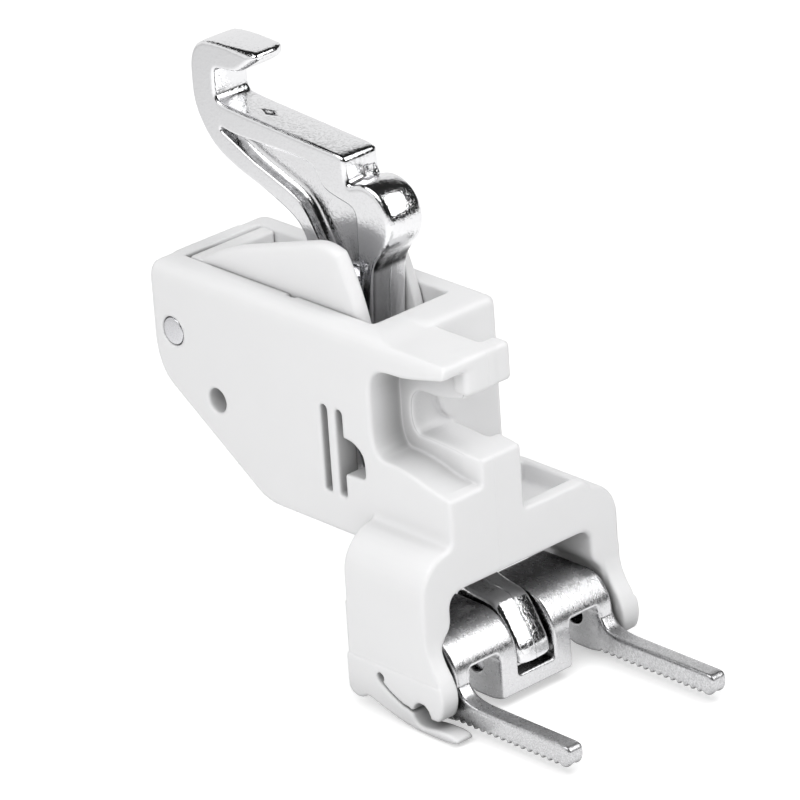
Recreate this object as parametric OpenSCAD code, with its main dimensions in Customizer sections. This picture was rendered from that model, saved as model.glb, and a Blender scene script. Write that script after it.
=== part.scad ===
// Dual feed foot holder for a household sewing machine, millimetres.
// X points forward to the user, Z up. The origin lies on the axis of the clip-on foot pin,
// in the middle plane of the drive arm.

/* [Box] */
// Height of the box top above the foot pin axis
box_top = 30.95; // [28:0.05:34]
// Thickness of the two side walls of the box
wall = 2.2; // [1.6:0.1:3]
// Outer near face of the box, distance from the middle plane
near_y = 7.65; // [7:0.05:9]
// Outer far face of the box, distance from the middle plane
far_y = 5.5; // [5:0.1:7]
// Front face of the box, which seats the presser bar
box_front = -6.15; // [-7:0.05:-5]

/* [Block] */
// Half of the width of the lower block
block_half = 11.5; // [10:0.1:13]
// Front face of the lower block and of the column
front_x = 0.8; // [0:0.1:2]
// Back face of the lower block
back_x = -8.95; // [-10:0.05:-8]
// Radius of the two shoulders
shoulder_r = 3.7; // [2:0.1:4.5]
// Diameter of the clip-on foot pin
foot_pin_d = 2.0; // [1.5:0.1:3]

/* [Screw slot] */
// Height of the slot for the clamp screw
slot_h = 4.0; // [3.5:0.1:5]
// Depth of the recess for the screw head
recess_d = 3.5; // [2.5:0.1:4]

/* [Moving parts] */
// Diameter of the rear pin
rear_pin_d = 2.5; // [2:0.1:3]
// Diameter of the arm pin
arm_pin_d = 2.0; // [1.5:0.1:2.5]
// Thickness of the drive arm
arm_t = 4.0; // [3:0.1:5]
// Thickness of the rocker cheeks
cheek_t = 1.1; // [0.9:0.1:1.6]
// Radial running clearance of the pins
run_gap = 0.04; // [0.02:0.01:0.08]

/* [Feed plate] */
// Half of the width over both feed fingers
plate_half = 9.3; // [8:0.1:10]
// Thickness of the plate
plate_t = 1.6; // [1:0.1:2]
// Width of one feed finger
finger_w = 1.7; // [1.2:0.1:2.5]
// Forward end of the feed fingers
finger_tip = 15.2; // [12:0.1:18]
// Pitch of the teeth under the fingers
tooth_pitch = 0.8; // [0.6:0.05:1.5]

/* [Hidden] */
$fn = 48;

near_in = near_y - wall - 0.15;
far_in = far_y - wall;
open_front = -9.85;
rear = [-33.4, 24.6];
pivot = [-16.8, 31.0];
plate_axis = [-1.25, 1.75];
rock_r = 22.7;
far_rock_r = 21.2;
arm_half = arm_t / 2;
toe_half = 1.85;
clip_in = 9.6;
clip_out = block_half + 0.15;
near_cheek = near_in - 0.15;
far_cheek = far_in - 0.1;
block_top = 14.2;
rim_top = 14.85;
column_far = 0.75;
column_top = 21.6;
tongue_top = 30.45;
tongue_low = 27;
tongue_far = -1.2;
jaw_low = 25.3;
jaw_front = -0.5;
slot_far = -1.65;
slot_c = [-5.1, 23.42];
slot_floor = [[slot_c.x, slot_c.y - slot_h / 2], [-2.03, 21.25], [front_x + 1, 20.75]];
slot_roof = [[front_x + 1, 26.75], [-3.4, slot_c.y + slot_h / 2], [slot_c.x, slot_c.y + slot_h / 2]];
facet_x = -1.0;
step_x = -1.8;
step_far = -0.4;
rim_notch = [-19.7, 30.95];
tab_t = 1.9;
tab_low = 26.9;
side_wall_out = 4.2;
side_wall_in = 3.0;
window_half = 2.14;
bend_r = 3.9;
bend_c = [-1.95, 2.3];
saddle_r = 1.3;
finger_top = 0.95;
tooth_depth = 0.25;
teeth = 16;
groove_w = 0.44;
finger_low = -0.8;
notch_top = 3.4;
notch_out = 7.55;
bush_r = 1.9;
vent = [-28.2, 19.5];
vent_r = 1.1;
slit_x = [-14.43, -12.57];
slit_w = 0.84;
slit_low = 15.0;
slit_high = 22.6;
relief = [-4.95, 1.95];
relief_r = 0.42;
pocket_x = -0.45;
pocket_y = 7.3;
pocket_floor = 13.2;
hub_r = 2.2;
near_hub = -2.2;
far_hub = 1.1;
boss_r = 1.75;
boss_end = -3.2;
clip_r = 1.6;
clip_y = [-2.69, -2.41];
clip_groove = 0.22;
head_c = [-13.85, 38.05];
head_r = 3.3;
panel_depth = 1.15;
tip_x = -26.4;
tip_near_r = 0.5;
tip_far_r = 1.9;
toe_back = -6.5;
ear_out = 9.2;
plate_pin_r = 0.9;
plate_pin_half = 3.7;
ring_r = 1.35;
lift_coil_r = 1.95;
lift_wire_r = 0.225;
lift_y = [-1.83, 0.83];
arm_coil_r = 2.35;
arm_wire_r = 0.2;
arm_coil_y = [-3.8, -2.69];
plate_coil_r = 1.2;
plate_wire_r = 0.13;
plate_coil_y = [2.05, 2.53];

white = [0.93, 0.93, 0.92];
steel = [0.72, 0.73, 0.75];
chrome = [0.82, 0.83, 0.85];
brass = [0.80, 0.68, 0.40];
wire = [0.55, 0.56, 0.58];

// Extrudes an X-Z outline between two Y positions
module slab(y0, y1) {
  translate([0, y1, 0])
    rotate([90, 0, 0])
      linear_extrude(y1 - y0)
        children();
}

// Extrudes a Y-Z outline between two X positions
module bar(x0, x1) {
  translate([x0, 0, 0])
    rotate([90, 0, 90])
      linear_extrude(x1 - x0)
        children();
}

// Round rod along Y
module rod(p, r, y0, y1) {
  slab(y0, y1)
    translate(p)
      circle(r);
}

// Square with rounded corners, all arcs exact
module round_square(x0, y0, x1, y1, r) {
  translate([x0 + r, y0])
    square([x1 - x0 - 2 * r, y1 - y0]);
  translate([x0, y0 + r])
    square([x1 - x0, y1 - y0 - 2 * r]);
  for (x = [x0 + r, x1 - r])
    for (y = [y0 + r, y1 - r])
      translate([x, y])
        circle(r);
}

// Side outline of the box
module box_outline() {
  polygon([[box_front, box_top], [-34.7, box_top], [-36.2, 29.45], [-36.2, 22.4],
    [-35.3, 19.85], [-22.8, 11.35], [box_front, 11.35]]);
  translate([-34.7, 29.45])
    circle(1.5);
}

// Cross outline of the box with the soft near edge
module box_cross() {
  translate([-near_y, 5])
    square([near_y + far_y, box_top - 5 - 1.5]);
  translate([-near_y + 1.5, 5])
    square([near_y + far_y - 1.9, box_top - 5]);
  translate([-near_y + 1.5, box_top - 1.5])
    circle(1.5);
  translate([far_y - 0.6, box_top - 1.6])
    square([0.6, 1.3]);
  translate([far_y - 0.4, box_top - 0.4])
    circle(0.4);
}

module box_solid() {
  intersection() {
    slab(-near_y, far_y)
      box_outline();
    bar(-37, box_front)
      box_cross();
  }
}

// Hollow of the box, open at the top and, below the rear bridge, at the back
module box_hollow() {
  slab(-near_in, far_in)
    polygon([[open_front, box_top + 1], [-33.75, box_top + 1], [-33.75, 28.2],
      [-37, 28.2], [-37, 21.6], [-34.3, 20.9], [-22.3, 12.95], [open_front, 12.95]]);
  slab(-2.7, 2.7)
    polygon([[-19.6, 14], [-19.6, 10], [-7.4, 10], [-7.4, 12], [-10.0, 15.6], [-10.5, 15.6]]);
}

// Column with the hook that takes the clamp screw, and the tongue and upper jaw above it
module column_solid() {
  translate([box_front - 2, -near_y, 11])
    cube([front_x - box_front + 2, near_y + column_far, column_top - 11]);
  translate([box_front - 2, -near_y, jaw_low])
    cube([jaw_front - box_front + 2, near_y + tongue_far, tongue_top - jaw_low]);
  translate([box_front - 2, -near_y, tongue_low])
    cube([front_x - box_front + 2, near_y + tongue_far, tongue_top - tongue_low]);
}

// Tab that hangs from the front end of the tongue
module tab() {
  translate([front_x - tab_t, -4.9, tab_low])
    cube([tab_t, 4.9 + 0.3, tongue_top - tab_low]);
}

// Outline of the recess for the screw head
module recess_outline() {
  translate([-6.3, 25.8])
    circle(2.2);
  translate([-6.2, 22.2])
    circle(2.3);
  polygon([[-8.5, 25.8], [-8.5, 22.2], [-6.3, 19.9], [-3.34, 19.4], [-2.16, 19.0],
    [front_x + 1, 18.3], [front_x + 1, 29.5], [-4.1, 28.2], [-6.3, 28.0]]);
}

// Outline of the slot in the hook wall, which is closed at its far end
module slot_outline() {
  translate(slot_c)
    circle(slot_h / 2);
  polygon(concat(slot_floor, slot_roof));
}

// Open space between column and jaw beyond the far end of the slot
module far_gap() {
  polygon(concat([[box_front, slot_floor[0].y]], slot_floor, slot_roof,
    [[box_front, slot_roof[2].y]]));
}

// Lower block with the two shoulders
module block_cross() {
  translate([-block_half, 3.1])
    square([2 * block_half, block_top - shoulder_r - 3.1]);
  translate([-block_half + shoulder_r, 3.1])
    square([2 * (block_half - shoulder_r), block_top - 3.1]);
  for (s = [-1, 1])
    translate([s * (block_half - shoulder_r), block_top - shoulder_r])
      circle(shoulder_r);
}

// Arch under the block, wider below
module arch_cross() {
  round_square(-8.3, 4, 8.3, 10.1, 1.2);
  polygon([[-8.3, 7.2], [-clip_in, 5.7], [-clip_in, -3], [clip_in, -3],
    [clip_in, 5.7], [8.3, 7.2]]);
}

// Side outline of one skirt with the jaw over the foot pin
module skirt_outline() {
  polygon([[back_x, 8], [back_x, 3.1], [back_x - 0.15, 2.9], [back_x - 0.15, 0.1],
    [-8.9, -0.4], [-8.35, -0.75], [-7.75, -0.85], [-7.1, -0.6], [-6.7, -0.3],
    [-4.48, -0.95], [-2.64, -1.4], [-0.9, -1.65], [1.08, -1.7], [3.1, -1.62],
    [4.25, -1.42], [3.95, -1.0], [3.0, -0.86], [1.6, -0.92], [0.5, -1.06],
    [-0.3, -1.06], [-0.8, -0.8], [-1.1, -0.2], [-1.05, 0], [1.9, -0.1],
    [2.3, 0.2], [2.6, 1.0], [2.7, 1.8], [2.6, 2.6], [2.2, 3.5], [1.5, 4.5],
    [1.0, 5.5], [front_x, 6.5], [front_x, 8]]);
}

// Spring slit, relief hole and half round seat for the foot pin
module latch_cut() {
  circle(foot_pin_d / 2 + run_gap);
  polygon([[-0.95, 0.05], [-2.45, 0.36], [-3.9, 1.05], [-4.55, 1.5], [-5.2, 1.9],
    [-5.3, 1.6], [-4.7, 1.25], [-4.0, 0.8], [-2.5, 0.1], [-0.95, -0.25]]);
  translate(relief)
    circle(relief_r);
}

module skirts() {
  for (s = [-1, 1])
    mirror([0, s > 0 ? 1 : 0, 0])
      difference() {
        slab(-clip_out, -clip_in)
          skirt_outline();
        slab(-clip_out - 1, -block_half)
          translate([-12, 3.1])
            square([20, 8]);
        slab(-clip_out - 1, -clip_in + 1)
          latch_cut();
      }
}

// Two slits and a pocket that free a thin strip in the near wall
module wall_slits() {
  for (x = slit_x) {
    translate([x - slit_w / 2, slit_low])
      square([slit_w, slit_high - slit_low]);
    translate([x, slit_high])
      circle(slit_w / 2);
  }
  difference() {
    polygon([[-12.6, 20.55], [-11.2, 20.6], [-10.0, 19.9], [-9.65, 19.1],
      [-9.65, 17.35], [-12.6, 17.25]]);
    polygon([[-12.99, 20.2], [-12.15, 19.5], [-12.15, 18.7], [-12.99, 17.8]]);
  }
}

module housing() color(white) {
  difference() {
    union() {
      box_solid();
      column_solid();
      bar(back_x, front_x)
        block_cross();
      translate([box_front - 1, 0, 12])
        cube([front_x - box_front + 1, 8.0, rim_top - 12]);
      skirts();
    }
    box_hollow();
    // passage under the block, its back wall kept above the plate
    bar(-7.6, front_x + 4)
      arch_cross();
    translate([back_x - 1, -clip_in, -4])
      cube([3, 2 * clip_in, 11.6]);
    slab(-2.7, 2.7)
      polygon([[back_x - 4, 7], [back_x - 4, 13], [-7.4, 11.35], [box_front, 10.5], [box_front, 7]]);
    // recess and slot of the clamp screw
    slab(-near_y - 1, -near_y + recess_d)
      recess_outline();
    slab(-near_y + recess_d - 1, slot_far)
      slot_outline();
    slab(slot_far - 0.1, column_far + 1)
      far_gap();
    // set back far side of the column behind its front part
    translate([box_front, step_far, column_top - 2.6])
      cube([step_x - box_front, 2, 4]);
    // small notch in the near rim beside the rocker
    slab(-near_in - 0.45, -near_in + 0.5)
      translate(rim_notch)
        circle(0.65);
    // leaning facet at the front of the recess floor
    intersection() {
      slab(-near_y, -near_y + recess_d + 1)
        recess_outline();
      translate([facet_x, -near_y + recess_d, 18])
        rotate([0, 0, 12])
          translate([0, -2, 0])
            cube([4, 2, 3.7]);
    }
    // pocket for the end of the presser bar
    translate([box_front, column_far, pocket_floor])
      cube([pocket_x - box_front, pocket_y - column_far, 6]);
    // soft outer rim of the pocket
    translate([box_front - 2, 8.0, block_top])
      cube([9, 4, 4]);
    // bores
    rod(rear, rear_pin_d / 2, -near_y - 1, far_y + 1);
    rod(vent, vent_r, -near_y - 1, -near_in + 1);
    slab(-near_y - 1, -near_in + 1)
      wall_slits();
  }
  tab();
}

module rear_pin() color(steel) {
  rod(rear, rear_pin_d / 2, -near_y + 0.1, far_y - 0.1);
}

// Spacer sleeve on the rear pin, between the hubs of the rocker
module rear_sleeve() color(brass) {
  slab(near_hub + 0.05, far_hub - 0.05)
    translate(rear)
      difference() {
        circle(rear_pin_d / 2 + 0.4);
        circle(rear_pin_d / 2 + run_gap / 2);
      }
}

// Side outline of the near rocker cheek
module cheek_outline() {
  intersection() {
    polygon([[-33.35, 22.6], [-33.3, 30.5], [-32.8, 30.95], [-31.9, 30.95], [-28.85, 32.7],
      [-23.3, 34.42], [-19.3, 35.6], [-16.3, 36.5], [-14.9, 36.5], [-13.6, 36.1],
      [-12.4, 35.5], [-9, 34], [-9, 23.2], [-22, 22.0], [-33, 22.3]]);
    translate(rear)
      circle(rock_r, $fn = 120);
  }
  translate(rear)
    circle(hub_r);
}

// Side outline of the far cheek, lower than the near one
module far_cheek_outline() {
  intersection() {
    polygon([[-33.35, 22.6], [-33.3, 29.6], [-29.4, 29.8], [-26.6, 31.2], [-23.0, 33.0],
      [-19.3, 34.6], [-15.4, 35.4], [-13.4, 34.9], [-12.0, 33.9], [-9, 31], [-9, 23.2],
      [-22, 22.0], [-33, 22.3]]);
    translate(rear)
      circle(far_rock_r, $fn = 120);
  }
  translate(rear)
    circle(hub_r);
}

module rocker() color(white) {
  difference() {
    union() {
      slab(-near_cheek, -near_cheek + cheek_t)
        cheek_outline();
      slab(far_cheek - cheek_t, far_cheek)
        far_cheek_outline();
      // web across the back, its rear face meets the rear bridge
      slab(-near_cheek, far_cheek)
        polygon([[-33.3, 28.0], [-33.3, 30.5], [-32.8, 30.95], [-31.6, 30.95],
          [-31.6, 28.0]]);
      // hubs on the rear pin
      rod(rear, hub_r, -near_cheek, near_hub);
      rod(rear, hub_r, far_hub, far_cheek);
      // boss of the arm pin
      rod(pivot, boss_r, -near_cheek + cheek_t - 0.1, boss_end);
    }
    rod(rear, rear_pin_d / 2 + run_gap, -near_y, far_y);
    rod(pivot, arm_pin_d / 2, -near_cheek + 0.5, far_y);
  }
}

// Coil of n rings joined into one wire body
module coil(p, r, w, y0, n, pitch) {
  for (i = [0 : n - 1])
    translate([p[0], y0 + i * pitch, p[1]])
      rotate([90, 0, 0])
        rotate_extrude($fn = 36)
          translate([r, 0])
            circle(w, $fn = 16);
}

// Straight wire between two points of the X-Z plane
module wire_leg(a, b, w, y) {
  d = b - a;
  translate([a[0], y, a[1]])
    rotate([0, atan2(d[0], d[1]), 0])
      cylinder(h = norm(d), r = w, $fn = 16);
}

module rocker_spring() color(wire) {
  coil(rear, lift_coil_r, lift_wire_r, lift_y[0], 8, (lift_y[1] - lift_y[0]) / 7);
  wire_leg([rear[0] + 1.4, rear[1] - 1.36], [-28.6, 17.9], lift_wire_r, lift_y[0]);
  wire_leg([rear[0] + lift_coil_r, rear[1]], [-31.2, 27.7], lift_wire_r, lift_y[1]);
}

module arm_pin() color(steel) {
  difference() {
    rod(pivot, arm_pin_d / 2, -near_cheek + 0.55, far_cheek + 0.05);
    // groove of the clip
    slab(clip_y[0] - 0.03, clip_y[1] + 0.03)
      translate(pivot)
        difference() {
          circle(arm_pin_d);
          circle(arm_pin_d / 2 - clip_groove);
        }
  }
}

module arm_clip() color(steel) {
  slab(clip_y[0], clip_y[1])
    translate(pivot)
      difference() {
        circle(clip_r);
        circle(arm_pin_d / 2 - clip_groove + 0.02);
        translate([-0.65, -2.2])
          square([1.3, 2.2]);
      }
}

module arm_bush() color(steel) {
  slab(-arm_half - 0.05, arm_half + 0.05)
    translate(pivot)
      difference() {
        circle(bush_r);
        circle(arm_pin_d / 2 + run_gap);
      }
}

module arm_spring() color(wire) {
  coil(pivot, arm_coil_r, arm_wire_r, arm_coil_y[0], 4, (arm_coil_y[1] - arm_coil_y[0]) / 3);
  wire_leg([pivot[0] + arm_coil_r, pivot[1]], [-13.1, 34.6], arm_wire_r, arm_coil_y[1]);
  wire_leg([pivot[0] - arm_coil_r, pivot[1]], [-20.6, 33.6], arm_wire_r, arm_coil_y[0]);
}

// Side outline of the drive arm
module arm_outline() {
  polygon([
    // hook
    [-34.95, 46.4], [-34.9, 47.6], [-34.5, 48.7], [-33.7, 49.55], [-32.5, 49.95],
    [-27.2, 49.95], [-26.6, 49.85], [tip_x, 49.55], [-26.8, 49.1], [-28.34, 48.02],
    [-29.2, 47.68], [-31.5, 47.55], [-31.85, 47.2], [-31.95, 45.4], [-31.8, 44.75],
    [-31.4, 44.35],
    // beam and notch
    [-25.0, 43.9], [-17.2, 43.37], [-16.4, 43.15], [-16.0, 42.75], [-15.9, 42.2],
    [-15.88, 41.3], [-15.6, 40.7], [-15.1, 40.3], [-14.6, 40.22],
    // stem and lower arm down to the toe
    [-13.0, 38.0], [-11.9, 35.4], [-12.75, 34.4], [-13.2, 33.35], [-13.5, 30.0],
    [-13.8, 26.0], [-13.9, 22.0], [-13.6, 18.0], [-12.9, 14.6], [-11.8, 12.0],
    [-10.2, 10.0], [-8.0, 8.6], [-5.5, 7.5], [-3.6, 6.9], [-1.6, 6.75],
    [-0.8, 6.5], [-0.1, 5.9], [1.65, 3.1], [1.85, 2.3], [1.95, 1.5], [1.8, 1.3],
    [0.1, 1.25], [-0.6, 0.6], [-1.25, 0.35], [-2.1, 0.7], [-3.2, 1.9], [-5.4, 3.6],
    [-8.8, 4.9], [-12.0, 6.9], [-14.6, 10.0], [-16.4, 14.0], [-17.9, 20.0],
    [-19.6, 27.0], [-21.42, 34.18],
    // leg
    [-21.88, 35.07], [-22.49, 35.82], [-23.54, 36.46], [-25.27, 37.23], [-27.29, 37.98],
    [-29.2, 38.57], [-30.72, 39.21], [-32.16, 39.96], [-33.32, 41.03], [-34.05, 42.11],
    [-34.54, 43.01], [-34.93, 44.3]]);
}

// Outline of the panel sunk into both faces of the upper arm
module panel_outline() {
  polygon([[-31.7, 42.25], [-27.56, 40.18], [-23.04, 38.56], [-21.84, 37.95],
    [-20.93, 36.99], [-19.86, 35.26], [-19.3, 34.3], [-15.1, 34.3], [-14.8, 38.4],
    [-15.1, 38.95], [-16.7, 39.26], [-18.4, 39.9], [-19.2, 40.8], [-19.35, 41.8],
    [-19.9, 42.5], [-25.0, 42.92], [-31.0, 43.2]]);
}

// What the rounding of one corner of the hook's tip takes away, near side -1, far side 1
module tip_corner(side, r) {
  difference() {
    translate([tip_x - r, side > 0 ? arm_half - r : -arm_half - 1, 46])
      cube([r + 1, r + 1, 5]);
    translate([tip_x - r, side * (arm_half - r), 45])
      cylinder(h = 7, r = r);
  }
}

module drive_arm() color(chrome) {
  difference() {
    union() {
      slab(-arm_half, arm_half)
        arm_outline();
      rod(head_c, head_r, -arm_half, arm_half);
    }
    for (y = [-arm_half - 1, arm_half - panel_depth])
      slab(y, y + 1 + panel_depth)
        panel_outline();
    // the toe is thinner than the arm
    for (s = [-1, 1])
      slab(s > 0 ? toe_half : -toe_half - 2, s > 0 ? toe_half + 2 : -toe_half)
        polygon([[toe_back, 10], [4, 10], [4, -2], [toe_back, -2]]);
    tip_corner(-1, tip_near_r);
    tip_corner(1, tip_far_r);
    rod(pivot, bush_r + run_gap, -5, 5);
    rod(plate_axis, plate_pin_r, -5, 5);
  }
}

// Bent strip of the saddle seen from the side, from the front low edge to the rear edge
module saddle_outline(low) {
  difference() {
    union() {
      translate(bend_c)
        circle(bend_r, $fn = 72);
      translate([-5.6, bend_c[1]])
        square([5.6 + bend_c[0], bend_r]);
      translate([bend_c[0], low])
        square([bend_r, bend_c[1] - low]);
    }
    translate(bend_c)
      circle(bend_r - plate_t, $fn = 72);
    translate([-9, -9])
      square([9 + bend_c[0], 9 + bend_c[1] + bend_r - plate_t]);
    translate([-9, -9])
      square([9 + bend_c[0] + bend_r - plate_t, 9 + bend_c[1]]);
  }
}

// One finger with its teeth, and the root that rises into the wing
module finger_outline() {
  difference() {
    union() {
      translate([bend_c[0] + bend_r - plate_t, finger_low])
        square([plate_t, 4.6]);
      translate([bend_c[0] + bend_r - plate_t, finger_low])
        square([finger_tip - 1 - bend_c[0] - bend_r + plate_t, finger_top - finger_low]);
      translate([finger_tip - 1, finger_low + 0.3])
        square([0.6, finger_top - finger_low - 0.7]);
      translate([finger_tip - 1, finger_top - 0.7])
        circle(0.7);
      translate([finger_tip - 0.7, finger_top - 0.7])
        circle(0.7);
      // fillet between strip and finger
      polygon([[1.9, 3.2], [2.2, 2.2], [2.7, 1.55], [3.3, 1.15], [4.1, 0.92], [1.9, 0.8]]);
      // teeth
      for (i = [0 : teeth - 1])
        translate([1.1 + i * tooth_pitch, finger_low])
          polygon([[0, 0.05], [0.12, -tooth_depth], [0.36, -tooth_depth], [0.68, 0.05]]);
    }
    translate([bend_c[0] + bend_r - plate_t - 0.1, finger_low - 0.6])
      square([0.5, 0.9]);
  }
}

// Side outline of one ear
module ear_outline() {
  polygon([[1.9, -0.95], [0.5, -1.2], [-1.6, -1.2], [-2.6, -0.6], [-3.0, 0.6],
    [-3.0, 2.6], [-2.2, 3.4], [1.2, 3.6], [1.9, 2.0]]);
}

module feed_plate() color(steel) {
  difference() {
    union() {
      // saddle with soft outer corners
      intersection() {
        slab(-plate_half, plate_half)
          saddle_outline(3.4);
        bar(-8, 4)
          round_square(-plate_half, -6, plate_half, bend_c[1] + bend_r + 0.02, saddle_r);
      }
      // middle of the front
      slab(-side_wall_out, side_wall_out)
        saddle_outline(-0.95);
      // ears folded back to the pin, two beside the window and one under each wing
      for (y = [[side_wall_in, side_wall_out], [notch_out, ear_out]]) {
        slab(y[0], y[1])
          ear_outline();
        slab(-y[1], -y[0])
          ear_outline();
      }
      // fingers
      for (s = [-1, 1])
        slab(s > 0 ? plate_half - finger_w : -plate_half,
          s > 0 ? plate_half : -plate_half + finger_w)
          finger_outline();
    }
    // groove between the two rows of teeth under each finger
    for (s = [-1, 1])
      translate([1, s * (plate_half - finger_w / 2) - groove_w / 2, finger_low - 1])
        cube([finger_tip, groove_w, 1.15]);
    // notches between the middle and the fingers
    for (y = [-notch_out, side_wall_out])
      translate([-3, y, -3])
        cube([6, notch_out - side_wall_out, 3 + notch_top]);
    // window for the toe, open at the back
    translate([-9, -window_half, 0.65])
      cube([12, 2 * window_half, 8]);
    rod(plate_axis, plate_pin_r + run_gap, -plate_half - 1, plate_half + 1);
  }
}

module plate_pin() color(steel) {
  rod(plate_axis, plate_pin_r, -plate_pin_half, plate_pin_half);
}

module plate_ring(y0, y1) {
  slab(y0, y1)
    translate(plate_axis)
      difference() {
        circle(ring_r);
        circle(plate_pin_r + run_gap);
      }
}

module plate_ring_near() color(steel) {
  plate_ring(-side_wall_in + 0.05, -toe_half - 0.1);
}

module plate_ring_far() color(steel) {
  plate_ring(side_wall_in - 0.3, side_wall_in - 0.05);
}

module plate_spring() color(wire) {
  coil(plate_axis, plate_coil_r, plate_wire_r, plate_coil_y[0], 3,
    (plate_coil_y[1] - plate_coil_y[0]) / 2);
  wire_leg([plate_axis[0] - plate_coil_r, plate_axis[1]], [-3.1, 3.2], plate_wire_r, plate_coil_y[0]);
  wire_leg([plate_axis[0] + plate_coil_r, plate_axis[1]], [0.2, 2.4], plate_wire_r, plate_coil_y[1]);
}

housing();
rear_pin();
rear_sleeve();
rocker();
rocker_spring();
arm_pin();
arm_clip();
arm_bush();
arm_spring();
drive_arm();
feed_plate();
plate_pin();
plate_ring_near();
plate_ring_far();
plate_spring();
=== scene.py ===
import math

import bmesh
import bpy
import numpy as np
from bpy.props import FloatProperty, FloatVectorProperty, PointerProperty
from mathutils import Matrix, Vector


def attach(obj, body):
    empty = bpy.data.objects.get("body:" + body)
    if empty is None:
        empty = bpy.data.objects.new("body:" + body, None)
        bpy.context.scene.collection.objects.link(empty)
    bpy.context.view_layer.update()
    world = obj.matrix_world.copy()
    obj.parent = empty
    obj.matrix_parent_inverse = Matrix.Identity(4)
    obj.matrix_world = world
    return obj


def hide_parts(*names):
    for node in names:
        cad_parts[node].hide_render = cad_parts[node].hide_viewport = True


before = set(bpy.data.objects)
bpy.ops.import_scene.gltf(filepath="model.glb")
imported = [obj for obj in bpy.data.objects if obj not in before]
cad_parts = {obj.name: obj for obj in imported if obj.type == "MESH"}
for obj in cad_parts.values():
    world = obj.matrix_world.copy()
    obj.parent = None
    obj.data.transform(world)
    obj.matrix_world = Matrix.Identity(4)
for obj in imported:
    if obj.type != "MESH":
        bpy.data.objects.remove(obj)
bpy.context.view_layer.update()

bl_info = {
    "name": "Dual feed foot holder",
    "version": (1, 0, 0),
    "blender": (4, 5, 0),
    "location": "View3D > Sidebar > Foot holder",
    "description": "Moulded holder, plated drive arm, toothed feed plate, pins and springs",
    "category": "Object",
}

MM = 0.001

# Driving places and sizes, in millimetres, as in the part's source
BOX_TOP = 30.95
NEAR_Y = -7.65
FAR_Y = 5.5
NEAR_IN = -5.3
FAR_IN = 3.3
BOX_FRONT = -6.15
OPEN_FRONT = -9.85
FRONT_X = 0.8
BACK_X = -8.95
BLOCK_HALF = 11.5
CLIP_IN = 9.6
CLIP_OUT = 11.7
BLOCK_TOP = 14.2
COLUMN_FAR = 0.75
REAR_PIN = (-33.4, 24.6)
PIVOT = (-16.8, 31.0)
PLATE_AXIS = (-1.25, 1.75)
PLATE_HALF = 9.3
PLATE_T = 1.6
BEND = (-1.95, 2.3)
BEND_R = 3.9
FINGER_W = 1.7
FINGER_TIP = 15.2
TOOTH_PITCH = 0.8


# Distance fields. Distances are in millimetres and negative inside.

def soft_outline(corners, reach, steps=7):
    """Closed outline whose corners are bridged by quadratic curves.

    Each corner is cut back along both of its edges by its reach, at most half the edge, and the
    points on the bridge are (1-t)^2 a + 2t(1-t) corner + t^2 b for t from 0 to 1."""
    corner = np.asarray(corners, float)
    back = np.roll(corner, 1, 0) - corner
    ahead = np.roll(corner, -1, 0) - corner
    back_length = np.linalg.norm(back, axis=1)
    ahead_length = np.linalg.norm(ahead, axis=1)
    reach = np.broadcast_to(np.asarray(reach, float), back_length.shape)
    start = corner + back * (np.minimum(reach / back_length, 0.499))[:, None]
    end = corner + ahead * (np.minimum(reach / ahead_length, 0.499))[:, None]
    t = np.linspace(0, 1, steps)[None, :, None]
    bridge = (1 - t) ** 2 * start[:, None] + 2 * t * (1 - t) * corner[:, None] + t ** 2 * end[:, None]
    return bridge.reshape(-1, 2)


def flat(u, w, outline):
    """Signed distance in a plane to a closed outline.

    It is the least distance to any edge, and its sign comes from how many edges a ray
    from the point crosses."""
    shape = np.broadcast(u, w).shape
    u = np.broadcast_to(u, shape).astype(np.float32)
    w = np.broadcast_to(w, shape).astype(np.float32)
    least = np.full(shape, 1e9, np.float32)
    inside = np.zeros(shape, bool)
    for a, b in zip(outline.tolist(), np.roll(outline, -1, 0).tolist()):
        edge = (b[0] - a[0], b[1] - a[1])
        length2 = edge[0] ** 2 + edge[1] ** 2
        if length2 < 1e-12:
            continue
        along = np.clip(((u - a[0]) * edge[0] + (w - a[1]) * edge[1]) / length2, 0, 1)
        least = np.minimum(least, (u - a[0] - along * edge[0]) ** 2 + (w - a[1] - along * edge[1]) ** 2)
        if a[1] != b[1]:
            crossed = (a[1] > w) != (b[1] > w)
            inside ^= crossed & (u < a[0] + (w - a[1]) * edge[0] / edge[1])
    least = np.sqrt(least)
    return np.where(inside, -least, least)


def disc(u, w, centre, radius):
    """Distance to a circle: distance to its centre less the radius."""
    return np.hypot(u - centre[0], w - centre[1]) - radius


def span(v, low, high):
    """Distance to a slab between two planes."""
    return np.abs(v - (low + high) / 2) - (high - low) / 2


def both(a, b, r=0.0):
    """What lies in a and in b, its edge rounded to radius r.

    Within r of the edge the distance is that to a circle of radius r."""
    if np.isscalar(r) and r <= 0:
        return np.maximum(a, b)
    return np.minimum(-r, np.maximum(a, b)) + np.hypot(np.maximum(r + a, 0), np.maximum(r + b, 0))


def either(a, b, r=0.0):
    """What lies in a or in b, with a fillet of radius r where they meet."""
    if np.isscalar(r) and r <= 0:
        return np.minimum(a, b)
    return -both(-a, -b, r)


def less(a, b, r=0.0):
    """a without b, its edge rounded to radius r."""
    return both(a, -b, r)


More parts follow.
